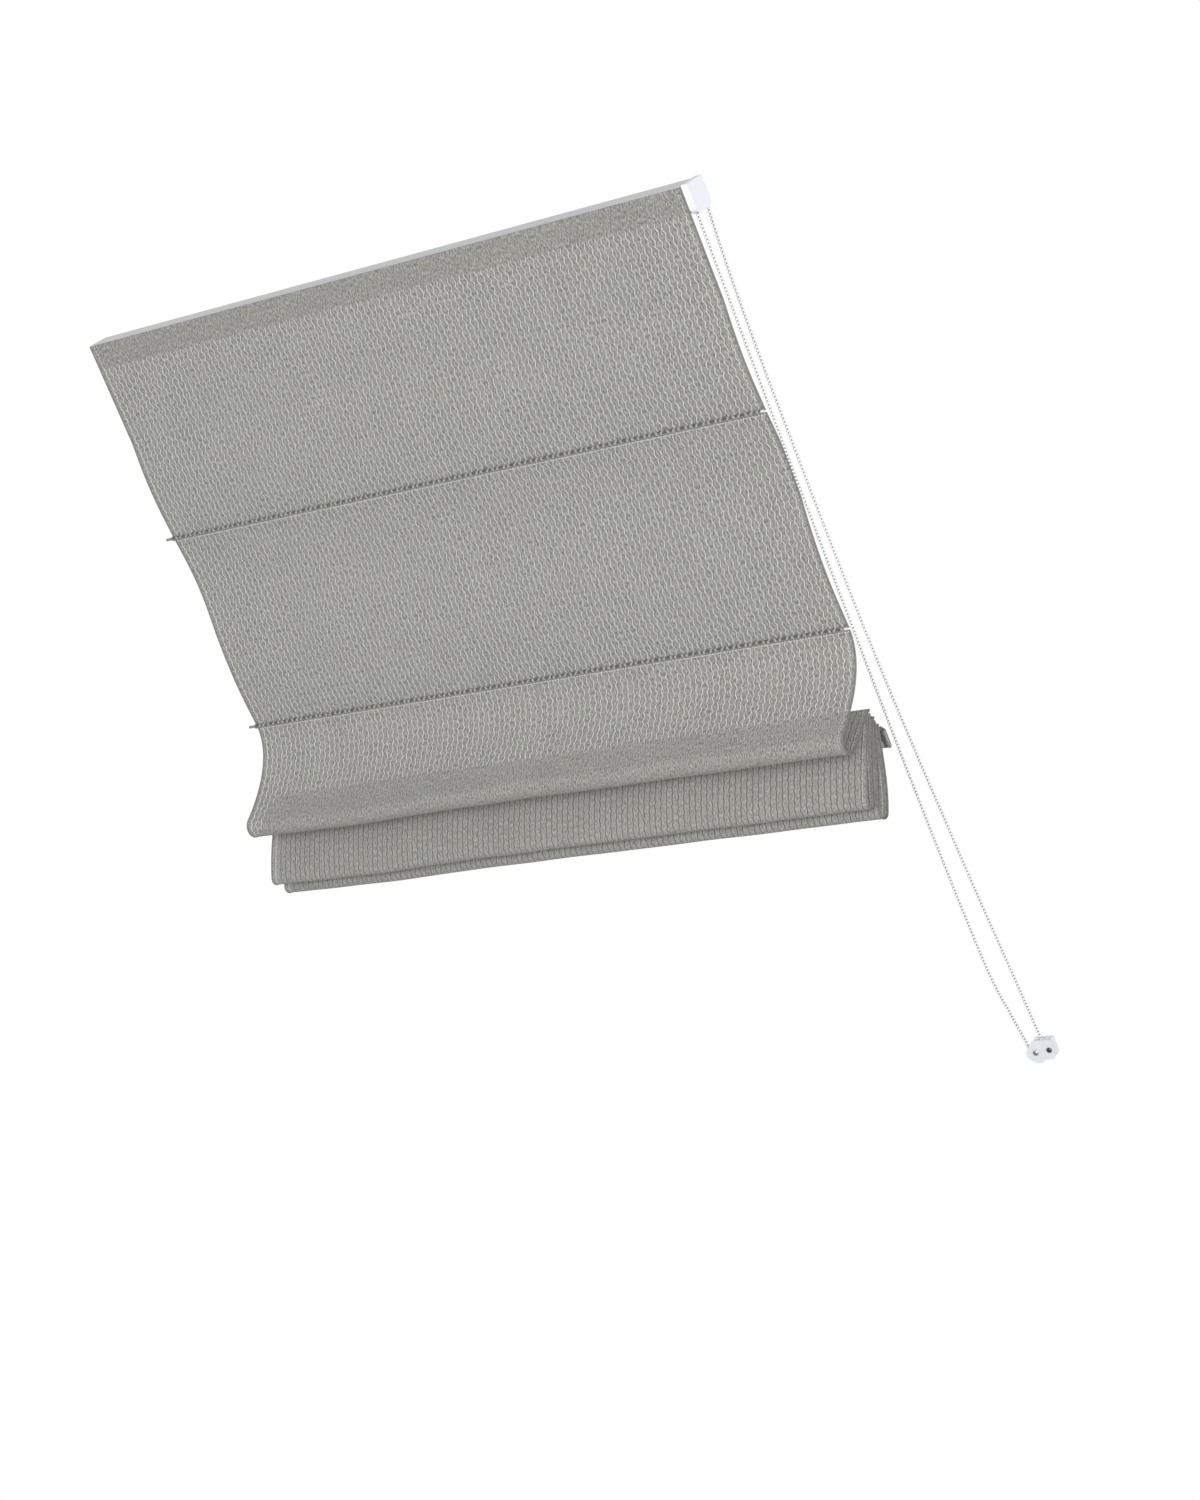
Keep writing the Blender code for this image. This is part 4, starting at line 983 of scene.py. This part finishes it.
def sheet_grid(line, shares, rise, marks, hanging_loose, pocket):
    """The cloth as a grid of faces, with all that its finish reads.

    Its columns are even, and one more stands where the pocket ends. The rows from the pocket
    on have no faces past that, so that the end of the rod shows.
    """
    columns = [LEFT + WIDE * k / COLUMNS for k in range(COLUMNS)] + [POCKET_END, RIGHT]
    bm = bmesh.new()
    uv = bm.loops.layers.uv.new("laid_flat")
    doubled_and_shaded = bm.verts.layers.float.new("doubled_and_shaded")
    below = bm.verts.layers.float.new("below_seam")
    rows = []
    for n, (drop, lift) in enumerate(line):
        row = []
        for x in columns:
            low, out = slack(x, shares[n], *hanging_loose)
            vert = bm.verts.new(spot(x, drop + low, lift + out))
            vert[doubled_and_shaded] = marks[n][0]
            vert[below] = marks[n][1]
            row.append(vert)
        rows.append(row)
    for n in range(len(rows) - 1):
        for k in range(len(columns) - 1 if n < pocket else len(columns) - 2):
            face = bm.faces.new((rows[n][k], rows[n + 1][k], rows[n + 1][k + 1], rows[n][k + 1]))
            spots = ((k, n), (k, n + 1), (k + 1, n + 1), (k + 1, n))
            for loop, (column, step) in zip(face.loops, spots):
                loop[uv].uv = (columns[column] - LEFT, rise[step])
    loose = [v for v in bm.verts if not v.link_faces]
    bmesh.ops.delete(bm, geom=loose, context="VERTS")
    return bm


def flat_lengths(line, start):
    """How far down the laid-flat cloth each point of a line lies."""
    rise = [start]
    for a, b in zip(line, line[1:]):
        rise.append(rise[-1] + sqrt((b[0] - a[0]) ** 2 + (b[1] - a[1]) ** 2))
    return rise


def bound_edges(line, shares, rise, hanging_loose, pocket):
    """Both bound edges of a sheet: flat strips with rounded corners that wrap its sides.

    The left one goes on round the pocket, the right one stops where the pocket starts.
    """
    bm = bmesh.new()
    uv = bm.loops.layers.uv.new("laid_flat")
    for side, inward, last in ((LEFT, 1.0, len(line)), (RIGHT, -1.0, pocket + 1)):
        rows = []
        for n, (drop, lift) in enumerate(line[:last]):
            a = line[max(n - 1, 0)]
            b = line[min(n + 1, len(line) - 1)]
            way = Vector((b[0] - a[0], b[1] - a[1])).normalized()
            out = Vector((-way.y, way.x)) * EDGE_HALF
            low, forward = slack(side, shares[n], *hanging_loose)
            row = []
            for step, height in EDGE_SECTION:
                place = (drop + low + out.x * height, lift + forward + out.y * height)
                row.append(bm.verts.new(spot(side + inward * step, *place)))
            rows.append(row)
        join_rings(bm, uv, rows, EDGE_STEP, rise)
    bmesh.ops.recalc_face_normals(bm, faces=bm.faces[:])
    return bm


def hang(name, line, shares, rise, marks, hanging_loose, pocket, bodies):
    """Make one sheet and its bound edges. A sheet that hangs from one body follows it, and one
    between two bodies is left where it stands.
    """
    grid = sheet_grid(line, shares, rise, marks, hanging_loose, pocket)
    cloth = keep(name + "_cloth", grid, net)
    edges = keep(name + "_edges", bound_edges(line, shares, rise, hanging_loose, pocket), binding)
    start = spot(0.0, *line[0])
    end = spot(0.0, *line[min(pocket, len(line) - 1)])
    for piece in (cloth, edges):
        if len(bodies) == 2:
            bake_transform(piece)
        else:
            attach(piece, bodies[0])
    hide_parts(name)
    rise[-1] - rise[0]
    print("%s: %.3f x %.3f m laid flat" % (name, WIDE, rise[-1] - rise[0]))


# %% Hang the whole cloth
NO_SEAM = 0.2
POCKET_FADE = 0.0012
LIT_LOWER_SIDE = 0.2
SHADE_FROM = 2.7
SHADE_OVER = 0.5


def pocket_darkness_at(past):
    """How dark the cloth is painted at a length past the start of the pocket round a rod.

    It comes to the rod from behind. The lower side of the rod is lighter, and the upper side,
    further round, is painted dark: partly the doubled cloth and partly painted shade.
    """
    if past < 0.0:
        return max(0.0, 1.0 + past / POCKET_FADE)
    further = (1.0 - LIT_LOWER_SIDE) * (past / POCKET - SHADE_FROM) / SHADE_OVER
    return min(1.0, max(LIT_LOWER_SIDE, LIT_LOWER_SIDE + further))


def hang_span(first_name, second_name, spanned, above, below, hanging_loose, fall):
    """Hang the cloth between two rods as two sheets that meet in the middle.

    spanned is the side line with its two marked points: where the halves meet, and where the
    pocket starts. above and below are the bodies that carry the upper and the lower edge. It
    returns how much cloth has been hung so far.
    """
    line, meet, pocket = spanned
    rise = flat_lengths(line, fall)
    free = rise[pocket] - rise[0]
    shares = [min((r - rise[0]) / free, 1.0) for r in rise]
    marks = []
    for r in rise:
        under = NO_SEAM if above == "headrail" else r - rise[0]
        marks.append((pocket_darkness_at(r - rise[pocket]), under))
    parts = ((first_name, 0, meet + 1, (above, first_name), above),
             (second_name, meet, len(line), (second_name, below), below))
    for name, a, b, bodies, holder in parts:
        hang(name, line[a:b], shares[a:b], rise[a:b], marks[a:b], hanging_loose, pocket - a,
             bodies)
    return rise[-1]


# Each span: its two sheets, its line, the bodies above and below, and its droop and ripple.
SPANS = (
    ("panel_1_upper", "panel_1_lower", panel_line(0.0, 0, 0.0, 0.0045),
     "headrail", "rod_1", NO_SLACK),
    ("panel_2_upper", "panel_2_lower", panel_line(behind_rod(0)[0], 1, 0.006, 0.004),
     "rod_1", "rod_2", (0.0, 0.0008)),
    ("fold_1_front", "fold_1_rear", fold_line(0), "rod_2", "rod_3", (0.006, 0.0012)),
    ("fold_2_front", "fold_2_rear", fold_line(1), "rod_3", "rod_4", (0.004, 0.0008)),
    ("fold_3_front", "fold_3_rear", fold_line(2), "rod_4", "rod_5", (0.003, 0.0006)),
)
fallen = 0.0
for span in SPANS:
    fallen = hang_span(*span, fallen)

# %% [markdown]
# ## Hem
#
# The last piece of cloth hangs from the lowest rod and is sewn round a flat bar, whose weight
# keeps the blind taut. The bar holds it flat, so it has no droop and no ripples. Its pocket is
# sewn shut at both ends. An end is one face inside the outline of the pocket, with an inset
# rim, and its middle is pushed out a little, as padding does it.

# %% Hem and its ends
HEM_POCKET = 0.012
HEM_FADE = 0.004
END_IN = 0.0012
END_RIM = 0.0009
END_PAD = 0.0006
END_KNIT = WIDE - 0.008
hem = hem_line()
hem_rise = flat_lengths(hem, fallen)
hem_below = [r - fallen for r in hem_rise]
# Round the bar the hem takes the pocket's dark stripe: the doubled cloth, partly painted shade.
hem_marks = [(min(1.0, max(0.0, (b - HEM_POCKET) / HEM_FADE)), b) for b in hem_below]


def hem_end(name, x, outward):
    """The sewn-up end of the hem's pocket, a little padded, in the cloth of the hem."""
    bm = bmesh.new()
    section = hem[HEM_TURN:]
    verts = [bm.verts.new(spot(x, drop, lift)) for drop, lift in section]
    patch = bmesh.ops.contextual_create(bm, geom=verts)["faces"]
    bmesh.ops.inset_individual(bm, faces=patch, thickness=END_RIM, depth=0.0)
    bmesh.ops.translate(bm, verts=list(patch[0].verts), vec=ALONG * (outward * END_PAD))
    bmesh.ops.triangulate(bm, faces=bm.faces[:])
    uv = bm.loops.layers.uv.new("laid_flat")
    # The whole end takes the pocket's finish: the doubled cloth, darkened in part by painted
    # shade, with its lines painted pale as light.
    doubled_and_shaded = bm.verts.layers.float.new("doubled_and_shaded")
    for vert in bm.verts:
        vert[doubled_and_shaded] = 1.0
    for face in bm.faces:
        if face.normal.dot(ALONG) * outward < 0.0:
            face.normal_flip()
        for loop in face.loops:
            away = loop.vert.co - spot(x, *section[0])
            loop[uv].uv = (END_KNIT - away.dot(ROOMWARD), hem_rise[HEM_TURN] + away.dot(DOWN))
    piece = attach(keep(name, bm, net), "rod_5")
    return piece


hem_ends = [hem_end("hem_end_left", LEFT + END_IN, -1.0),
            hem_end("hem_end_right", RIGHT - END_IN, 1.0)]
hang("hem", hem, [0.0] * len(hem), hem_rise, hem_marks, NO_SLACK, len(hem), ("rod_5",))
print("the whole cloth is %.3f m long when it is laid flat" % hem_rise[-1])

# %% [markdown]
# ## Rings for the cords
#
# The cords would swing about if nothing led them, so a small ring is sewn behind each rod in
# each cord's column. A ring is a circle spun round an axis beside it. It stands behind the
# pocket, and the cord passes through it. A torus would be one call, but the same function
# winds the coils below.

# %% Rings
RING_BEHIND = POCKET + 0.0050
RING_RADIUS = 0.0039
RING_WIRE = 0.00055
RING_SIDE = DOWN.orthogonal().normalized()
SPIN_STEPS = 20
WELD = 1e-6


def spun(name, centre, axis, side, radius, wire, finish, sides, turns=1.0, pitch=0.0):
    """Wire spun round an axis: a closed ring, or a coil if it has a pitch."""
    bm = bmesh.new()
    turn = side.cross(axis).to_track_quat("Z", "Y").to_matrix().to_4x4()
    place = Matrix.Translation(centre + side * radius) @ turn
    bmesh.ops.create_circle(bm, segments=sides, radius=wire, matrix=place)
    bmesh.ops.spin(bm, geom=bm.verts[:] + bm.edges[:], cent=centre, axis=axis,
                   dvec=axis * (pitch / SPIN_STEPS), angle=2 * pi * turns,
                   steps=int(SPIN_STEPS * turns), use_merge=pitch == 0.0)
    if pitch > 0.0:
        bmesh.ops.holes_fill(bm, edges=bm.edges[:], sides=sides)
    else:
        bmesh.ops.remove_doubles(bm, verts=bm.verts[:], dist=WELD)
    bmesh.ops.recalc_face_normals(bm, faces=bm.faces[:])
    return keep(name, bm, finish)


for column, x in CORD_COLUMNS.items():
    for n, (drop, lift) in enumerate(zip(ROD_DROPS, ROD_LIFTS)):
        piece = spun("cord_ring_%d_%s" % (n + 1, column), spot(x, drop, lift - RING_BEHIND),
                     DOWN, RING_SIDE, RING_RADIUS, RING_WIRE, white_plastic, sides=8)
        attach(piece, "rod_%d" % (n + 1))
print("fifteen rings behind the rods")

# %% [markdown]
# ## Coils on the drums and in the brake
#
# On each drum lies the cord that has been wound up, and the brake is a coil of spring wire
# round the shaft. Both are a small circle spun about the shaft while it also moves along it,
# which is what the spin operator does when it is given a step to move by.

# %% Coils
WOUND_HALF = 0.0095
WOUND_RADIUS = DRUM_THICK / 2 + CORD_THICK / 2 + 0.0001
WOUND_TURNS = 12.0
WOUND_PITCH = 0.00155
BRAKE_X = RIGHT - 0.0157
BRAKE_RADIUS = 0.0047
BRAKE_WIRE = 0.0005
BRAKE_TURNS = 14.0
BRAKE_PITCH = 0.0011

for column, x in CORD_COLUMNS.items():
    wound = spun("wound_cord_" + column, spot(x - WOUND_HALF, MIDDLE_DROP, SHAFT_LIFT), ALONG,
                 ROOMWARD, WOUND_RADIUS, CORD_THICK / 2, braid, 6, WOUND_TURNS, WOUND_PITCH)
    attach(wound, "drive_shaft")
brake = spun("brake_coil", spot(BRAKE_X, MIDDLE_DROP, SHAFT_LIFT), ALONG, ROOMWARD,
             BRAKE_RADIUS, BRAKE_WIRE, steel, 6, BRAKE_TURNS, BRAKE_PITCH)
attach(brake, "headrail")
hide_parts("brake_spring")
print("three wound cords and the brake's coil")

# %% [markdown]
# ## Finishes for the hard pieces
#
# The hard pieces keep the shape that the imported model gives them. A Weld modifier joins their
# loose triangles and a small Bevel rounds their edges, because no real edge is sharp, and a
# rounded edge catches a thin line of light.

# %% Dress the hard pieces
JOINED_WITHIN = 0.00001


def dress(finish, names, round_edges=0.0):
    """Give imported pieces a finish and, if they want it, rounded edges."""
    for name in names:
        piece = nodes[name]
        for place in piece.material_slots:
            place.material = finish
        if round_edges > 0.0:
            weld = piece.modifiers.new("joined", "WELD")
            weld.merge_threshold = JOINED_WITHIN
            soft = piece.modifiers.new("rounded", "BEVEL")
            soft.width = round_edges
            soft.segments = 2
            soft.limit_method = "ANGLE"
            soft.angle_limit = SHARP
            soft.use_clamp_overlap = True
    print(finish.name, "on", ", ".join(names))


columns = tuple(CORD_COLUMNS)
dress(aluminium, ["headrail", "bottom_bar"], round_edges=0.0003)
dress(white_plastic, ["drive_housing", "drive_cover", "end_cap_left"], round_edges=0.0004)
dress(white_plastic, ["brake_hub", "shaft_bush", "chain_sprocket", "tensioner_pulley"])
dress(white_plastic, ["cord_drum_" + c for c in columns] + ["drum_cradle_" + c for c in columns])
dress(white_plastic, ["cord_stop_" + c for c in columns])
dress(clear_plastic, ["tensioner_base", "tensioner_cover"], round_edges=0.0005)
dress(steel, ["rail_screw_%d" % n for n in range(1, 5)])
dress(dark_steel, ["tensioner_screw"])
dress(steel, ["drive_shaft", "tensioner_axle"], round_edges=0.0002)
dress(rod_skin, ["rod_%d" % n for n in range(1, 6)])
dress(hooks, ["hook_tape"])
dress(loops, ["loop_tape"])

# %% [markdown]
# ## Studio
#
# The blind hangs above a pale floor under soft light: a wide lamp in front, one low down that
# lifts the undersides, a far and strong one at the right that gives the folds their shade, and
# an even sky. The camera sees a white background, because the sky and the floor show white to
# it through the Light Path node, while the light that falls on the blind stays at a plain
# level.

# %% Floor and light
FLOOR_PLACE = (0.0, 0.4, -2.25)
FLOOR_RADIUS = 4.0
FLOOR_GLOW = 0.6
SKY = 0.44


def pale_floor():
    """A wide, pale floor that shows almost white and keeps the shadow."""
    floor = Finish("pale_floor", roughness=0.95, Base_Color=(0.82, 0.82, 0.82, 1.0))
    plain = Socket(floor, floor.shader.outputs["BSDF"])
    glow = floor.node("ShaderNodeEmission")
    seen = floor.node("ShaderNodeLightPath", output="Is Camera Ray")
    mixed = floor.node("ShaderNodeMixShader", {}, {0: seen * FLOOR_GLOW, 1: plain, 2: glow})
    floor.feed(floor.tree.nodes["Material Output"].inputs["Surface"], mixed)
    bm = bmesh.new()
    bmesh.ops.create_circle(bm, cap_ends=True, segments=64, radius=FLOOR_RADIUS,
                            matrix=Matrix.Translation(FLOOR_PLACE))
    floor_piece = keep("floor", bm, floor.material, smooth=False)


def lamp(name, place, aim, size, power):
    """A square soft lamp that shines at a point."""
    light = bpy.data.lights.new(name, "AREA")
    light.size = size
    light.energy = power
    holder = bpy.data.objects.new(name, light)
    holder.location = place
    way = Vector(aim) - Vector(place)
    holder.rotation_euler = way.to_track_quat("-Z", "Y").to_euler()
    bpy.context.scene.collection.objects.link(holder)


def even_sky(strength):
    """A world that lights everything evenly, and looks white."""
    world = bpy.data.worlds.new("even_sky")
    world.use_nodes = True
    bpy.context.scene.world = world
    tree = world.node_tree
    ground = tree.nodes["Background"]
    ground.inputs["Color"].default_value = (1.0, 1.0, 1.0, 1.0)
    path = tree.nodes.new("ShaderNodeLightPath")
    seen = path.outputs["Is Camera Ray"]
    for kind in ("Is Glossy Ray", "Is Transmission Ray"):
        either = tree.nodes.new("ShaderNodeMath")
        either.operation = "MAXIMUM"
        tree.links.new(seen, either.inputs[0])
        tree.links.new(path.outputs[kind], either.inputs[1])
        seen = either.outputs[0]
    level = tree.nodes.new("ShaderNodeMapRange")
    level.inputs["To Min"].default_value = strength
    level.inputs["To Max"].default_value = 1.0
    tree.links.new(seen, level.inputs["Value"])
    tree.links.new(level.outputs["Result"], ground.inputs["Strength"])


pale_floor()
even_sky(SKY)
lamp("front_lamp", place=(-1.6, -3.4, -0.4), aim=(0.0, 0.2, -0.4), size=2.2, power=20.0)
lamp("right_lamp", place=(6.4, -5.6, -2.0), aim=(0.2, 0.2, -0.5), size=3.5, power=640.0)
lamp("low_lamp", place=(0.6, -3.0, -1.8), aim=(0.0, 0.2, -0.5), size=2.0, power=14.0)
bpy.context.scene.view_settings.view_transform = "Standard"
print("floor, three lamps and an even sky")
